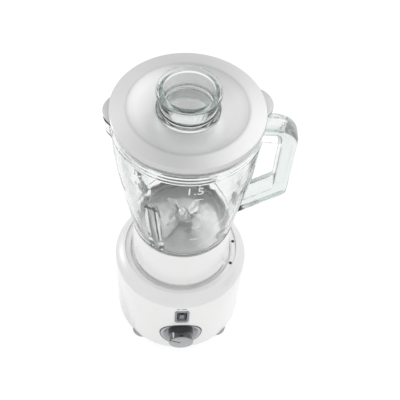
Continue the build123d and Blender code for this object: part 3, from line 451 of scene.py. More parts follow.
def blend_max(a, b, soft):
    """The larger of two lengths with the corner between them rounded."""
    share = max(soft - abs(a - b), 0.0) / soft
    return max(a, b) + share * share * soft * 0.25


def new_tree(name, kinds):
    """Geometry node tree with named inputs and one geometry output."""
    tree = bpy.data.node_groups.new(name, "GeometryNodeTree")
    add = tree.interface.new_socket
    inputs = {word: add(word, in_out="INPUT", socket_type="NodeSocket" + kind)
              for word, kind in kinds.items()}
    add("Geometry", in_out="OUTPUT", socket_type="NodeSocketGeometry")
    return tree, inputs


def soft_shading():
    """Node tree that merges a solid's loose facets and keeps its real edges sharp."""
    tree, inputs = new_tree("soft_shading", {"Geometry": "Geometry", "Edge angle": "Float"})
    inputs["Edge angle"].subtype = "ANGLE"
    inputs["Edge angle"].default_value = radians(24)
    given = tree.nodes.new("NodeGroupInput").outputs
    merge = add_node(tree, "GeometryNodeMergeByDistance", {"Geometry": given["Geometry"], "Distance": 2e-6})
    angle = tree.nodes.new("GeometryNodeInputMeshEdgeAngle")
    flat = add_node(tree, "FunctionNodeCompare", {0: angle, 1: given["Edge angle"]}, operation="LESS_THAN")
    faces = add_node(tree, "GeometryNodeSetShadeSmooth", {"Geometry": merge})
    edges = add_node(tree, "GeometryNodeSetShadeSmooth", {"Geometry": faces, "Shade Smooth": flat},
                     domain="EDGE")
    add_node(tree, "NodeGroupOutput", {"Geometry": edges})
    return tree


def dress(material, *names):
    """Finish on solids that are shown as they are."""
    tree = bpy.data.node_groups.get("soft_shading") or soft_shading()
    for name in names:
        solid = NODES[name]
        solid.data.materials.clear()
        solid.data.materials.append(material)
        solid.modifiers.new("soft_shading", "NODES").node_group = tree


# Glass jug
def wall_radius(sizes, height):
    """Outside of the glass wall, a cubic through its four given radii."""
    tall = sizes.rim_height - sizes.foot_height
    at = [sizes.foot_height + tall * share for share in (0.0, 0.27, 0.61, 1.0)]
    radii = [sizes.foot_radius, sizes.low_radius, sizes.high_radius, sizes.top_radius]
    total = 0.0
    for i, radius in enumerate(radii):
        for j, other in enumerate(at):
            if i != j:
                radius *= (height - other) / (at[i] - other)
        total += radius
    return total


def circle_side(centre, radius, angle, side):
    """Distance from the axis to a circle's near (-1) or far (1) side, or None beside it."""
    across = centre * sin(angle)
    if abs(across) >= radius or cos(angle) < 0:
        return None
    return centre * cos(angle) + side * sqrt(radius * radius - across * across)


# Spout rows from its foot to the rim: drop below the rim, middle, outside and inside radius
SPOUT = ((0.028, 0.0629, 0.0096, 0.0056), (0.017, 0.0653, 0.01472, 0.01072), (0.0, 0.0653, 0.016, 0.012))


def spout_side(sizes, height, angle, inside):
    """Distance from the axis to the spout's skin, or None beside it."""
    drop = sizes.rim_height - height
    off = (angle - sizes.spout_turn + pi) % tau - pi
    for low, high in zip(SPOUT, SPOUT[1:]):
        if high[0] - 1e-6 <= drop <= low[0]:
            share = (low[0] - drop) / (low[0] - high[0])
            row = [a + (b - a) * share for a, b in zip(low, high)]
            return circle_side(row[1], row[3 if inside else 2], off, 1)
    return None


def jug_wall(sizes):
    """Wall, rim band, neck, spout and inner ribs of the jug as one turned form."""
    heel, land, edge = 3 * MM, 3 * MM, 1.6 * MM
    foot, rim = sizes.foot_height, sizes.rim_height
    band, band_low = sizes.top_radius + sizes.band_proud, rim - sizes.band_height
    bead, bend = foot + heel, band_low - 14 * MM
    bead_rows, heel_rows, inner_rows = 18, 8, 72
    lines, line_rows = 3, 8
    outer = [(sizes.neck_radius, sizes.neck_low), (sizes.neck_radius, foot)]
    for across, up in quarter(6):
        outer.append((sizes.foot_radius - heel + heel * up, foot + heel - heel * across))
    for row in range(1, bead_rows + 1):
        height = bead + sizes.bead_height * row / bead_rows
        proud = sizes.bead_proud * sin(pi * row / bead_rows) ** 2
        outer.append((wall_radius(sizes, height) + proud, height))
    for start, stop, rows in ((bead + sizes.bead_height, bend, 34), (bend, band_low, 12)):
        for row in range(1, rows + 1):
            height = start + (stop - start) * row / rows
            outer.append((wall_radius(sizes, height), height))
    for row in range(1, heel_rows + 1):
        height = band_low + heel * row / heel_rows
        lobe = band - heel + sqrt(max(heel * heel - (band_low + heel - height) ** 2, 0.0))
        outer.append((max(wall_radius(sizes, height), lobe), height))
    for row in range(1, lines * line_rows + 1):
        height = band_low + heel + (sizes.band_height - heel - land) * row / (lines * line_rows)
        outer.append((band - sizes.line_depth * (1 - cos(tau * row / line_rows)) / 2, height))
    for across, up in quarter(5):
        outer.append((band - edge + edge * across, rim - edge + edge * up))
    inner = []
    for across, up in quarter(4):
        inner.append((sizes.top_radius - sizes.wall + edge - edge * up, rim - edge + edge * across))
    for row in range(1, inner_rows + 1):
        height = rim - edge - (rim - edge - foot) * row / inner_rows
        inner.append((wall_radius(sizes, height) - sizes.wall, height))
    foot_in, neck_slope = sizes.foot_radius - sizes.wall, 0.2
    inner.append((sizes.neck_hole, foot - (foot_in - sizes.neck_hole) * neck_slope))
    inner.append((sizes.neck_hole, sizes.neck_low))
    split = len(outer)
    rib_end = foot + sizes.rib_height
    spout_soft, rib_soft = 2.5 * MM, 1.6 * MM

    def bent(index, radius, height, angle):
        beak = spout_side(sizes, height, angle, index >= split)
        if beak is not None:
            radius = blend_max(radius, beak, spout_soft)
        if index >= split and foot - 0.1 * MM < height < rib_end + sizes.rib_radius:
            off = (angle - sizes.rib_turn + pi / 4) % (pi / 2) - pi / 4
            over = max(height - rib_end, 0.0)
            centre = wall_radius(sizes, height) - sizes.wall
            near = circle_side(centre, sqrt(max(sizes.rib_radius ** 2 - over ** 2, 0.0)), off, -1)
            if near is not None:
                radius = -blend_max(-radius, -near, rib_soft)
        return radius

    return lathe("glass_jug", outer + inner, bent)


def jug_handle(sizes):
    """Rounded bar from the rim out to the grip and back to the wall on a slope."""
    rim, grip = sizes.rim_height, sizes.handle_reach
    inside = grip - sizes.grip
    top, under, low = rim - 5 * MM, rim - 27.5 * MM, rim - 111.3 * MM
    over = low + 11.8 * MM
    slope = tan(radians(38.5))
    elbow, knee, crook = 25 * MM, 9 * MM, 6 * MM
    root_top = sizes.top_radius - 2.6 * MM
    root_out, root_in = sizes.foot_radius + 1.2 * MM, sizes.foot_radius + 5.4 * MM
    outer = [(root_top, top, 0), (grip, top, elbow), (grip, low, knee),
             (root_out, low - slope * (grip - root_out), 0)]
    inner = [(root_top, under, 0), (inside, under, crook), (inside, over, crook),
             (root_in, over - slope * (inside - root_in), 0)]
    arc, run_length = 12, 3 * MM
    pairs = list(zip(rounded(outer, arc, False), rounded(inner, arc, False)))
    runs = []
    for (a_out, a_in), (b_out, b_in) in zip(pairs, pairs[1:]):
        parts = max(1, round((b_out - a_out).length / run_length))
        for part in range(parts):
            share = part / parts
            runs.append((a_out.lerp(b_out, share), a_in.lerp(b_in, share)))
    runs.append(pairs[-1])
    half, crisp = sizes.handle_width / 2, sizes.grip_round
    points = []
    for far, near in runs:
        middle, across = (far + near) / 2, (far - near) / 2
        reach = across.length
        across = across.normalized()
        soft = min(sizes.handle_round, reach * 0.98)
        loop = [(reach, half, soft), (-reach, half, crisp), (-reach, -half, crisp), (reach, -half, soft)]
        for spot in rounded(loop, 7):
            out = middle + across * spot.x
            points.append((out.x, spot.y, out.y))
    return skinned("glass_handle", points, len(points) // len(runs), sizes.handle_turn)


class COUNTERTOP_OT_glass_jug(bpy.types.Operator):
    """Make the glass jug with its rim band, spout, inner ribs and handle"""

    bl_idname = "countertop.glass_jug"
    bl_label = "Glass jug"

    def execute(self, context):
        sizes = settings("jug")
        mesh = fuse(jug_wall(sizes), jug_handle(sizes))
        smooth_mesh(mesh, 38)
        glass = pressed_glass("jug_glass", settings("finish").glass, 18.0, 0.35)
        # Round the thick elbow of the handle the glass is made slightly milky: a haze, and painted light
        # that lightens the dark patch where light is caught in the thick glass
        elbow, fade = (sizes.handle_reach - 7.3 * MM, 0, sizes.rim_height - 12 * MM), 40 * MM
        tree = glass.node_tree
        clear = spread(tree, outside(glass, elbow, FROM_FRONT, 0.0, fade), 0.75, 1.0)
        put(tree, tree.nodes["Principled BSDF"], {"Transmission Weight": clear})
        add_piece("glass_jug_body", mesh, "jug", glass, ["glass_jug"])
        return {"FINISHED"}


# Volume scale
def scale_tree(material):
    """Node tree that sets raised ticks up the glass, one above the other."""
    numbers = dict.fromkeys(("Pitch", "Width", "Foot", "Lean", "Turn", "Reach"), "Float")
    tree, inputs = new_tree("volume_ticks", {"Ticks": "Int", **numbers})
    given = tree.nodes.new("NodeGroupInput").outputs

    def spot(**parts):
        return add_node(tree, "ShaderNodeCombineXYZ", parts)

    line = add_node(tree, "GeometryNodeMeshLine", {
        "Count": given["Ticks"], "Start Location": spot(X=given["Reach"], Z=given["Foot"]),
        "Offset": spot(X=given["Lean"], Z=given["Pitch"])})
    bar = add_node(tree, "GeometryNodeCurvePrimitiveLine", {
        name: spot(Y=maths(tree, "MULTIPLY", given["Width"], share))
        for name, share in (("Start", -0.5), ("End", 0.5))})
    pen = add_node(tree, "GeometryNodeCurvePrimitiveCircle", {"Resolution": 10, "Radius": 0.55 * MM})
    tube = add_node(tree, "GeometryNodeCurveToMesh", {
        "Curve": bar, "Profile Curve": pen, "Fill Caps": True})
    ticks = add_node(tree, "GeometryNodeInstanceOnPoints", {"Points": line, "Instance": tube})
    spin = add_node(tree, "GeometryNodeTransform", {"Geometry": ticks, "Rotation": spot(Z=given["Turn"])})
    real = add_node(tree, "GeometryNodeRealizeInstances", {"Geometry": spin})
    paint = add_node(tree, "GeometryNodeSetMaterial", {"Geometry": real, "Material": material})
    add_node(tree, "NodeGroupOutput", {"Geometry": paint})
    return tree, {word: socket.identifier for word, socket in inputs.items()}


def grown(name, tree, inputs, values):
    """Plain mesh that a node tree gives for these values."""
    carrier = place_object(name, bpy.data.meshes.new(name))
    grow = carrier.modifiers.new(name, "NODES")
    grow.node_group = tree
    for word, value in values.items():
        grow[inputs[word]] = value
    return plain_mesh(carrier)


def scale_number(sizes, number, low, direction):
    """Raised plain number bent round the glass."""
    text = bpy.data.curves.new("volume_number", "FONT")
    text.body, text.align_x = number, "CENTER"
    text.size, text.extrude, text.resolution_u = 15 * MM, 0.4 * MM, 4
    plain = plain_mesh(place_object("volume_number", text))
    points = []
    for point in plain.vertices:
        height = low + point.co.y
        reach = wall_radius(sizes, height) + point.co.z
        points.append(polar(reach, direction + point.co.x / reach, height))
    return mesh_from("volume_number", points, [tuple(face.vertices) for face in plain.polygons])


class COUNTERTOP_OT_volume_scale(bpy.types.Operator):
    """Set the raised volume ticks and their number on the front of the jug"""

    bl_idname = "countertop.volume_scale"
    bl_label = "Volume scale"

    def execute(self, context):
        sizes = settings("jug")
        tick_foot, tick_width, tick_turn = 0.2425, 8 * MM, radians(-83)
        number_foot, number_turn = 0.337, radians(-86.4)
        frosted = moulded("frosted_mark", (0.93, 0.94, 0.935, 1), 0.3, Transmission_Weight=0.1)
        tree, inputs = scale_tree(frosted)
        top = tick_foot + sizes.tick_pitch * (sizes.tick_count - 1)
        reach = wall_radius(sizes, tick_foot)
        lean = (wall_radius(sizes, top) - reach) / (sizes.tick_count - 1)
        mesh = grown("volume_ticks", tree, inputs, {
            "Ticks": sizes.tick_count, "Pitch": sizes.tick_pitch, "Width": tick_width, "Foot": tick_foot,
            "Lean": lean, "Turn": tick_turn, "Reach": reach + 0.1 * MM})
        out = Vector((cos(tick_turn), sin(tick_turn)))
        for point in mesh.vertices:
            flat = Vector(point.co[:2])
            side = flat.x * -out.y + flat.y * out.x
            proud = flat.dot(out) - (reach + lean * (point.co.z - tick_foot) / sizes.tick_pitch)
            bent = wall_radius(sizes, point.co.z) + proud
            point.co = polar(bent, tick_turn + side / bent, point.co.z)
        smooth_mesh(mesh)
        add_piece("volume_ticks", mesh, "jug", None, [])
        number = scale_number(sizes, "1.5", number_foot, number_turn)
        smooth_mesh(number)
        add_piece("volume_number", number, "jug", frosted, [])
        return {"FINISHED"}


# Lid and measuring cup
class COUNTERTOP_OT_lid(bpy.types.Operator):
    """Make the satin lid with its smooth step and two finger tabs"""

    bl_idname = "countertop.lid"
    bl_label = "Lid"

    def execute(self, context):
        sizes = settings("top")
        rim = settings("jug").rim_height
        top = rim + sizes.lid_edge
        crown = top + sizes.crown
        dish = crown - sizes.step_drop
        edge, step = sizes.lid_radius, sizes.step_radius
        inner = step - sizes.step_width
        plug, plug_in, plug_low = 67.9 * MM, 65.5 * MM, rim - 13 * MM
        groove, groove_top, groove_in = plug_low + 4 * MM, plug_low + 9 * MM, plug - 1 * MM
        bore, throat, throat_low, under = 28 * MM, 30.2 * MM, dish - 38 * MM, dish - 2.6 * MM
        roll, lip, crisp = 1.6 * MM, 0.8 * MM, 0.5 * MM
        over_handle, over_spout = radians(8), radians(179.6)
        corners = [(plug, rim, 0), (edge, rim, 0.6 * MM), (edge, top, roll),
                   (step + 1.2 * MM, crown, roll), (step, crown, roll)]
        bow = (sizes.step_width ** 2 + sizes.step_drop ** 2) / (2 * sizes.step_drop)
        sweep = asin(sizes.step_width / bow)
        rows = 10
        for row in range(1, rows + 1):
            angle = sweep * (1 - row / rows)
            corners.append((inner + bow * sin(angle), dish + bow * (1 - cos(angle)), 0))
        corners += [(bore, dish, lip), (bore, throat_low, lip), (throat, throat_low, lip),
                    (throat, under, 1 * MM), (inner + 1 * MM, under, 0), (plug_in, rim + 1 * MM, 0),
                    (plug_in, plug_low, crisp), (plug, plug_low, crisp), (plug, groove, 0),
                    (groove_in, groove, 0), (groove_in, groove_top, 0), (plug, groove_top, 0)]
        mesh = lathe("lid", rounded(corners), None, 256)
        for direction, reach in ((over_handle, sizes.tab_reach), (over_spout, sizes.spout_tab_reach)):
            mesh = fuse(mesh, finger_tab(sizes, rim, direction, reach))
        smooth_mesh(mesh, 30)
        add_piece("lid_top", mesh, "lid", lid_finish(sizes, throat), ["lid"])
        return {"FINISHED"}


def lid_finish(sizes, throat):
    """Satin lacquer over spun metal, its gloss drawn out along the rings, in five tones."""
    tone = settings("finish").lid
    made = moulded("lid_satin", tone, 0.4, 1800.0, 1.5e-6, 0.012,
                   Metallic=0.75, Anisotropic=0.75, Anisotropic_Rotation=0.25)
    tree = made.node_tree
    rings = add_node(tree, "ShaderNodeTangent", {}, direction_type="RADIAL", axis="Z")
    put(tree, tree.nodes["Principled BSDF"], {"Tangent": rings})
    step, edge = sizes.step_radius, sizes.lid_radius + 0.1 * MM
    # Painted shade darkens the tabs; painted light lightens the dish inside the step and the inside of the
    # throat
    tabs = (edge, edge + 0.1 * MM, 0.8)
    dish = (step - 3 * MM, step - 8 * MM, 1.08)
    inside = (throat - 0.9 * MM, throat - 1.1 * MM, 1.46)
    for start, end, share in (tabs, dish, inside):
        overpaint(made, outside(made, *ROUND_AXIS, start, end), shade(tone, share))
    # Painted shade: a darker ring round the step
    return overpaint(made, ring(made, step - 1.2 * MM, step + 1.4 * MM, 1 * MM), shade(tone, 0.9))


def finger_tab(sizes, rim, direction, reach):
    """Round plate under the lid's edge, rounded on top."""
    thick, edge, inside = 3 * MM, 1.2 * MM, 70.5 * MM
    count, round_share = 64, 0.86
    rings = [(sizes.tab_radius, rim)]
    for across, up in quarter(5):
        rings.append((sizes.tab_radius - edge + edge * across, rim + thick - edge + edge * up))
    middle = sizes.lid_radius + reach - sizes.tab_radius
    points = []
    for radius, height in rings:
        for step in range(count):
            angle = pi * (step / (count - 1) - 0.5) * round_share
            points.append((middle + radius * cos(angle), radius * sin(angle), height))
        wide = radius * sin(pi * round_share / 2)
        back = sqrt(inside * inside - wide * wide)
        points += [(back, wide, height), (back, -wide, height)]
    return skinned("finger_tab", points, count + 2, direction)


class COUNTERTOP_OT_measuring_cup(bpy.types.Operator):
    """Make the thick glass measuring cup"""

    bl_idname = "countertop.measuring_cup"
    bl_label = "Measuring cup"

    def execute(self, context):
        sizes = settings("top")
        seat = settings("jug").rim_height + sizes.lid_edge + sizes.crown - sizes.step_drop
        top = seat + sizes.cup_height
        bead, wall = sizes.cup_radius - 0.1 * MM, sizes.cup_radius - 3.2 * MM
        floor, lip = seat + 5 * MM, top - 4 * MM
        plug, low = 27.6 * MM, seat - 12 * MM
        plug_in, under = plug - 3.2 * MM, floor - 4.5 * MM
        inner = wall - sizes.cup_wall
        soft, crisp, tiny = 1.5 * MM, 0.8 * MM, 0.05 * MM
        profile = rounded([
            (plug, low, crisp), (plug, seat, 0), (bead, seat, 2.3 * MM), (bead, floor, 2 * MM),
            (wall, floor + soft, soft), (wall, lip - soft, soft), (sizes.cup_radius, lip, soft),
            (sizes.cup_radius, top, 1.6 * MM), (inner + 1.2 * MM, top, 1.2 * MM), (inner, floor, 2.2 * MM),
            (tiny, floor, 0), (tiny, under, 0), (plug_in, under, 1.2 * MM), (plug_in, low, crisp)], 8)
        mesh = lathe("measuring_cup", profile, None, 192)
        close_axis(mesh, 2 * tiny)
        smooth_mesh(mesh, 40)
        glass = pressed_glass("cup_glass", settings("finish").glass, 25.0, 0.2)
        add_piece("measuring_cup_glass", mesh, "cup", glass, ["measuring_cup"])
        return {"FINISHED"}


def close_axis(mesh, radius):
    """Draw the rings nearest the axis together into one point each."""
    build = bmesh.new()
    build.from_mesh(mesh)
    near = [point for point in build.verts if hypot(point.co.x, point.co.y) < radius]
    for point in near:
        point.co.x = point.co.y = 0.0
    inside = [face for face in build.faces if all(point in near for point in face.verts)]
    bmesh.ops.delete(build, geom=inside, context="FACES_ONLY")
    settle(build, mesh)


# Base, collar and controls
def collar_mesh(sizes, jug):
    """Tapered collar with its foot drawn in, three bayonet lugs inside and a pip outside."""
    top = jug.foot_height
    taper = (sizes.foot - jug.foot_radius) / (top - sizes.low)
    web, web_top = top - 16.5 * MM, top - 12.5 * MM
    bore, hole = jug.neck_radius + 0.4 * MM, jug.neck_radius - 12 * MM
    side = sizes.foot - taper * sizes.foot_tall
    wide = side - sizes.inside - 0.2 * MM
    lug_turn, lug_half, pip_turn = radians(30), radians(6.1), radians(-31)
    profile = [(hole, web), (hole, web_top), (bore, web_top), (bore, top), (jug.foot_radius, top)]
    for across, up in quarter(12):
        profile.append((side - wide * (1 - across), sizes.low + sizes.foot_tall * (1 - up)))
    lug_low, lug_top = sizes.low + 1 * MM, sizes.low + 6 * MM
    lugs = (len(profile) + 2, len(profile) + 3)
    for height in (sizes.low, lug_low, lug_low, lug_top, lug_top, web):
        profile.append((sizes.inside - taper * (height - sizes.low), height))

    def bent(index, radius, height, angle):
        off = (angle - lug_turn + pi / 3) % (tau / 3) - pi / 3
        return sizes.lug_radius if index in lugs and abs(off) < lug_half else radius

    ball = sizes.pip_radius
    spot = Matrix.Translation((sizes.foot - ball / 2, 0, sizes.low + 2 * ball))
    build = bmesh.new()
    bmesh.ops.create_uvsphere(build, u_segments=24, v_segments=16, radius=ball,
                              matrix=Matrix.Rotation(pip_turn, 4, "Z") @ spot)
    pip = bpy.data.meshes.new("collar_pip")
    build.to_mesh(pip)
    build.free()
    return fuse(lathe("jug_collar", profile, bent), pip)


class COUNTERTOP_OT_base_finish(bpy.types.Operator):
    """Make the collar and finish the housing, shoulder, ledge and feet"""

    bl_idname = "countertop.base_finish"
    bl_label = "Base and collar"

    def execute(self, context):
        tones = settings("finish")
        white = moulded("white_gloss", tones.white, 0.22, 700.0, 1.5e-6, 0.012, Coat_Weight=0.25)
        dress(white, "motor_housing")
        collar = collar_mesh(settings("collar"), settings("jug"))
        smooth_mesh(collar)
        add_piece("collar_body", collar, "jug", white, ["jug_collar"])
        silver = moulded("silver_satin", tones.silver, 0.36, 1800.0, 1.5e-6, 0.015, Metallic=0.25)
        # Painted light: the ledge inside this radius is lightened against the shade next to the collar
        ledge = 67.4 * MM
        within = outside(silver, *ROUND_AXIS, ledge, ledge - 0.2 * MM)
        dress(overpaint(silver, within, tones.ledge), "top_cover")
        dress(moulded("mark_black", (0.012, 0.012, 0.013, 1), 0.4), "lock_marks")
        dress(moulded("foot_rubber", (0.42, 0.42, 0.43, 1), 0.7, 500.0, 1e-5, 0.06), "rubber_feet")
        dress(moulded("base_grey", (0.42, 0.42, 0.43, 1), 0.55, 600.0, 6e-6, 0.03), "bottom_cover")
        dress(moulded("seat_grey", (0.50, 0.50, 0.51, 1), 0.45, 600.0, 4e-6, 0.03), "jug_seat")
        dress(moulded("inlet_black", (0.03, 0.03, 0.032, 1), 0.6, 500.0, 8e-6, 0.05), "cord_inlet")
        return {"FINISHED"}


class COUNTERTOP_OT_controls(bpy.types.Operator):
    """Finish the knob, its bezel, the push button and its frame"""

    bl_idname = "countertop.controls"
    bl_label = "Knob and button"

    def execute(self, context):
        tones = settings("finish")
        dress(bezel_finish(tones), "knob_bezel")
        dress(moulded("frame_grey", tones.frame, 0.35, 1200.0, 2e-6, 0.02), "button_frame")
        knob = moulded("knob_two_tone", tones.knob, 0.14, 900.0, 1.5e-6, 0.04, Coat_Weight=1.0)
        dress_front(knob, "speed_knob", 0.8 * MM, tones.knob_face)
        button = moulded("button_dark", tones.button, 0.3, 1000.0, 2e-6, 0.04)
        dress_front(button, "pulse_button", 0.25 * MM, tones.pad)
        dress(turned_metal("spindle_steel", (0.56, 0.56, 0.57, 1), 0.3), "knob_spindle")
        printed = moulded("printed_grey", (0.11, 0.11, 0.115, 1), 0.45, 1500.0, 1e-6, 0.05)
        add_piece("button_dashes", button_dashes(), "base", printed, [])
        return {"FINISHED"}


def button_dashes():
    """Three plain printed dashes over the button, laid on the housing."""
    shell = BVHTree.FromObject(NODES["motor_housing"], bpy.context.evaluated_depsgraph_get())
    height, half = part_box("button_frame")[1].z + 4.6 * MM, 0.8 * MM
    proud, sunk, before = -0.06 * MM, 0.3 * MM, -0.2
    dashes = (-4.8 * MM, 2.6 * MM), (-2 * MM, 1 * MM), (2.4 * MM, 5.2 * MM)
    points, faces = [], []
    for middle, wide in dashes:
        first = len(points)
        for depth in (proud, sunk):
            for x, z in ((-1, -1), (1, -1), (1, 1), (-1, 1)):
                start = Vector((middle + x * wide / 2, before, height + z * half))
                points.append(shell.ray_cast(start, Vector((0, 1, 0)))[0] + Vector((0, depth, 0)))
        faces += [tuple(first + spot for spot in face) for face in (
            (0, 1, 2, 3), (4, 5, 6, 7), (0, 1, 5, 4), (1, 2, 6, 5), (2, 3, 7, 6), (3, 0, 4, 7))]
    return mesh_from("button_dashes", points, faces)


def dress_front(made, name, depth, tone):
    """Finish with a second colour on the front, down to a depth."""
    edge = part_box(name)[0].y + depth
    dress(overpaint(made, along(made, "Y", edge, edge - 0.05 * MM), tone), name)


def bezel_finish(tones):
    """Satin dish with a dark line round its rim."""
    made = moulded("bezel_grey", tones.bezel, 0.3, 1500.0, 2e-6, 0.03, Metallic=0.45)
    low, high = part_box("knob_bezel")
    middle, rim = (0, 0, (low.z + high.z) / 2), (high.z - low.z) / 2
    # Painted shade: dark line round the rim of the recess
    line = outside(made, middle, FROM_FRONT, rim - 1.1 * MM, rim - 1 * MM)
    return overpaint(made, line, shade(tones.knob, 2.0))


class COUNTERTOP_OT_blade_unit(bpy.types.Operator):
    """Finish the steel floor, the blades and what holds them"""

    bl_idname = "countertop.blade_unit"
    bl_label = "Blade unit"

    def execute(self, context):
        steel = settings("finish").steel
        # Painted light: the strong cloud of tones stands in for the mottled light seen through the wavy
        # glass
        dish = turned_metal("dish_steel", steel, 0.3, 2600.0, 0.4)
        # Painted light: the floor is lighter outside 42 mm
        painted_light_border = outside(dish, *ROUND_AXIS, 27 * MM, 42 * MM)
        dress(overpaint(dish, painted_light_border, shade(steel, 1.3)), "blade_dish")
        dress(turned_metal("blade_steel", (0.50, 0.50, 0.51, 1), 0.1, 5200.0),
              "lower_blade", "upper_blade", "blade_washer")
        dress(turned_metal("nut_chrome", (0.66, 0.66, 0.67, 1), 0.1), "blade_nut")
        dress(turned_metal("shaft_steel", (0.55, 0.55, 0.56, 1), 0.25),
              "blade_shaft", "bearing_nut", "motor_shaft")
        dress(turned_metal("bearing_steel", (0.5, 0.5, 0.5, 1), 0.3), "blade_bearing")
        dress(moulded("clear_seal", (0.7, 0.7, 0.68, 1), 0.5, 400.0, 6e-6, 0.03, Transmission_Weight=0.3),
              "jug_gasket", "lid_gasket")
        dress(moulded("coupling_black", (0.03, 0.03, 0.032, 1), 0.45, 500.0, 6e-6, 0.05),
              "drive_coupling", "driven_coupling")
        return {"FINISHED"}


class COUNTERTOP_OT_inner_works(bpy.types.Operator):
    """Finish the motor, switches, screws and interlock inside the base"""

    bl_idname = "countertop.inner_works"
    bl_label = "Motor and switches"

    def execute(self, context):
        dress(moulded("lamination", (0.13, 0.13, 0.135, 1), 0.45, 1200.0, 6e-6, 0.1, Metallic=0.7),
              "stator_core", "rotor_core")
        dress(turned_metal("copper", (0.5, 0.2, 0.1, 1), 0.35), "field_coils", "commutator")
        dress(moulded("bracket_cast", (0.42, 0.42, 0.43, 1), 0.5, 500.0, 1e-5, 0.06, Metallic=0.9),
              "upper_bracket", "lower_bracket")
        dress(turned_metal("screw_steel", (0.52, 0.52, 0.53, 1), 0.3),
              "upper_bearing", "lower_bearing", "mount_screws", "seat_screws", "cover_screws")
        dress(moulded("black_rubber", (0.03, 0.03, 0.03, 1), 0.75, 400.0, 1e-5, 0.08),
              "motor_mounts", "shaft_seal")
        dress(moulded("carbon", (0.02, 0.02, 0.02, 1), 0.6, 900.0, 8e-6, 0.15), "carbon_brushes")
        dress(moulded("black_plastic", (0.03, 0.03, 0.033, 1), 0.5, 600.0, 6e-6, 0.05),
              "brush_holders", "cooling_fan", "speed_switch", "pulse_switch", "interlock_switch")
        dress(moulded("slider_white", (0.7, 0.7, 0.69, 1), 0.45, 600.0, 4e-6, 0.03), "interlock_slider")
        return {"FINISHED"}


# Stage
def background_share(tree):
    """1 where a ray comes straight from the camera, a mirror or glass."""
    path = tree.nodes.new("ShaderNodeLightPath").outputs
    seen = maths(tree, "MAXIMUM", path["Is Camera Ray"], path["Is Glossy Ray"])
    return maths(tree, "MAXIMUM", seen, path["Is Transmission Ray"])


def by_ray(tree, light, background, output):
    """One shader that lights the object, another that camera, mirrors and glass see."""
    mix = add_node(tree, "ShaderNodeMixShader", {"Fac": background_share(tree), 1: light, 2: background})
    put(tree, tree.nodes[output], {"Surface": mix})


def stage_material(name):
    made, tree, shader = new_material(name)
    tree.nodes.remove(shader)
    return made, tree


def floor_material():
    """White floor that still takes the object's shadow."""
    made, tree = stage_material("floor_white")
    plain, soft = [add_node(tree, "ShaderNodeBsdfDiffuse", {"Color": (grey, grey, grey, 1)})
                   for grey in (0.8, 0.16)]
    glow = add_node(tree, "ShaderNodeEmission", {"Strength": 0.88})
    both = add_node(tree, "ShaderNodeAddShader", {0: soft, 1: glow})
    by_ray(tree, plain, both, "Material Output")
    return made


# Cards: name, place, aim, width, height and level in the middle
CARDS = (
    ("card_above", (0, 0.9, 1.9), (0, 0, 0.35), 0.7, 2.6, 0.2),
    ("card_left", (-0.7, 1.0, 1.65), (0, 0, 0.37), 0.9, 1.2, 2.0),
    ("card_right", (1.4, -0.4, 0.5), (0, 0, 0.3), 1.1, 1.3, 0.3),
    ("card_low", (-0.957, 0.366, 0.331), (0, -0.085, 0.045), 0.5, 0.5, 7.0),
    ("card_front", (-0.5, -1.6, 0.5), (0, 0, 0.25), 1.2, 1.0, 0.4),
)


def card_material(name, wide, tall, level):
    """Card, softer towards its edges."""
    made, tree = stage_material(name)
    middle = add_node(tree, "ShaderNodeMapping", {
        "Vector": object_place(tree), "Scale": (2 / wide, 2 / tall, 0)})
    ball = add_node(tree, "ShaderNodeTexGradient", {"Vector": middle}, gradient_type="QUADRATIC_SPHERE")
    fade = spread(tree, ball.outputs["Fac"], 1.0, level, 0.0, 0.45)
    glow = add_node(tree, "ShaderNodeEmission", {"Strength": fade})
    put(tree, tree.nodes["Material Output"], {"Surface": glow})
    return made


def flat_sheet(name, wide, tall, material):
    """Flat sheet of the stage, made round the origin."""
    mesh = bpy.data.meshes.new(name)
    x, y = wide / 2, tall / 2
    mesh.from_pydata([(-x, -y, 0), (x, -y, 0), (x, y, 0), (-x, y, 0)], [], [(0, 1, 2, 3)])
    mesh.materials.append(material)
    made = place_object(name, mesh)
    return made


def aim_at(made, place, aim):
    made.location = place
    made.rotation_euler = (Vector(aim) - Vector(place)).to_track_quat("-Z", "Y").to_euler()


def area_light(name, place, aim, size, power):
    lamp = bpy.data.lights.new(name, "AREA")
    lamp.shape, lamp.size, lamp.energy = "DISK", size, power
    aim_at(place_object(name, lamp), place, aim)


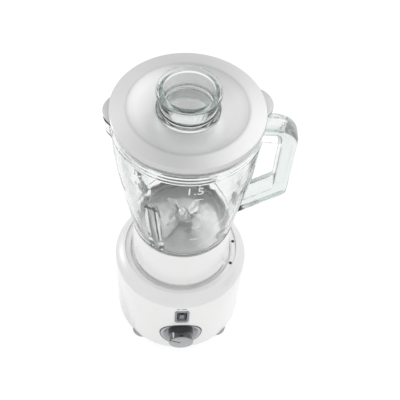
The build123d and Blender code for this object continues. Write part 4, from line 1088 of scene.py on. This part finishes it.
class COUNTERTOP_OT_stage(bpy.types.Operator):
    """Set the floor, the light and the camera"""

    bl_idname = "countertop.stage"
    bl_label = "Stage"

    def execute(self, context):
        scene = context.scene
        values = settings("stage")
        scene.view_settings.view_transform = "Standard"
        floor_side = 12.0
        flat_sheet("floor", floor_side, floor_side, floor_material())
        self.light_world(scene, values.ambient)
        self.add_cards()
        key_place, key_aim, key_size = (0.78, 0.75, 1.58), (0, 0, 0.25), 1.4
        area_light("key_light", key_place, key_aim, key_size, values.key)
        self.add_camera(scene, values)
        return {"FINISHED"}

    def light_world(self, scene, ambient):
        """White to the camera, mirrors and glass; even light to everything else."""
        world = bpy.data.worlds.new("studio")
        world.use_nodes = True
        scene.world = world
        tree = world.node_tree
        even = tree.nodes["Background"]
        white = tree.nodes.new("ShaderNodeBackground")
        for shader, strength in ((even, ambient), (white, 1.0)):
            put(tree, shader, {"Color": (1, 1, 1, 1), "Strength": strength})
        by_ray(tree, even, white, "World Output")

    def add_cards(self):
        """Cards over the stage that only gloss and glass see."""
        for name, place, aim, wide, tall, level in CARDS:
            card = flat_sheet(name, wide, tall, card_material(name, wide, tall, level))
            aim_at(card, place, aim)
            card.visible_camera = card.visible_diffuse = card.visible_shadow = False

    def add_camera(self, scene, values):
        data = bpy.data.cameras.new("camera")
        data.sensor_fit, data.sensor_width, data.lens = "HORIZONTAL", 36.0, values.lens
        camera = place_object("camera", data)
        aim = Matrix.Rotation(-values.yaw, 4, "Z") @ Matrix.Rotation(pi / 2 - values.pitch, 4, "X")
        roll = Matrix.Rotation(values.roll, 4, "Z")
        camera.matrix_world = Matrix.Translation(values.camera_place) @ aim @ roll
        scene.camera = camera


class COUNTERTOP_PT_panel(bpy.types.Panel):
    """Lists the steps that make the part"""

    bl_label = "Countertop blender"
    bl_idname = "COUNTERTOP_PT_panel"
    bl_space_type = "VIEW_3D"
    bl_region_type = "UI"
    bl_category = "Countertop blender"

    def draw(self, context):
        for step in STEPS:
            self.layout.operator(step.bl_idname)
        for name, group in SETTINGS.items():
            column = self.layout.column(heading=group.__doc__)
            for word in group.__annotations__:
                column.prop(settings(name), word)


STEPS = (
    COUNTERTOP_OT_glass_jug,
    COUNTERTOP_OT_volume_scale,
    COUNTERTOP_OT_lid,
    COUNTERTOP_OT_measuring_cup,
    COUNTERTOP_OT_base_finish,
    COUNTERTOP_OT_controls,
    COUNTERTOP_OT_blade_unit,
    COUNTERTOP_OT_inner_works,
    COUNTERTOP_OT_stage,
)
CLASSES = tuple(SETTINGS.values()) + STEPS + (COUNTERTOP_PT_panel,)


def register():
    for item in CLASSES:
        bpy.utils.register_class(item)
    for name, group in SETTINGS.items():
        setattr(bpy.types.Scene, "countertop_" + name, PointerProperty(type=group))


def unregister():
    for name in SETTINGS:
        delattr(bpy.types.Scene, "countertop_" + name)
    for item in reversed(CLASSES):
        bpy.utils.unregister_class(item)


def main():
    register()
    for step in STEPS:
        group, name = step.bl_idname.split(".")
        getattr(getattr(bpy.ops, group), name)()
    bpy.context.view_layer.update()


if __name__ == "__main__":
    main()
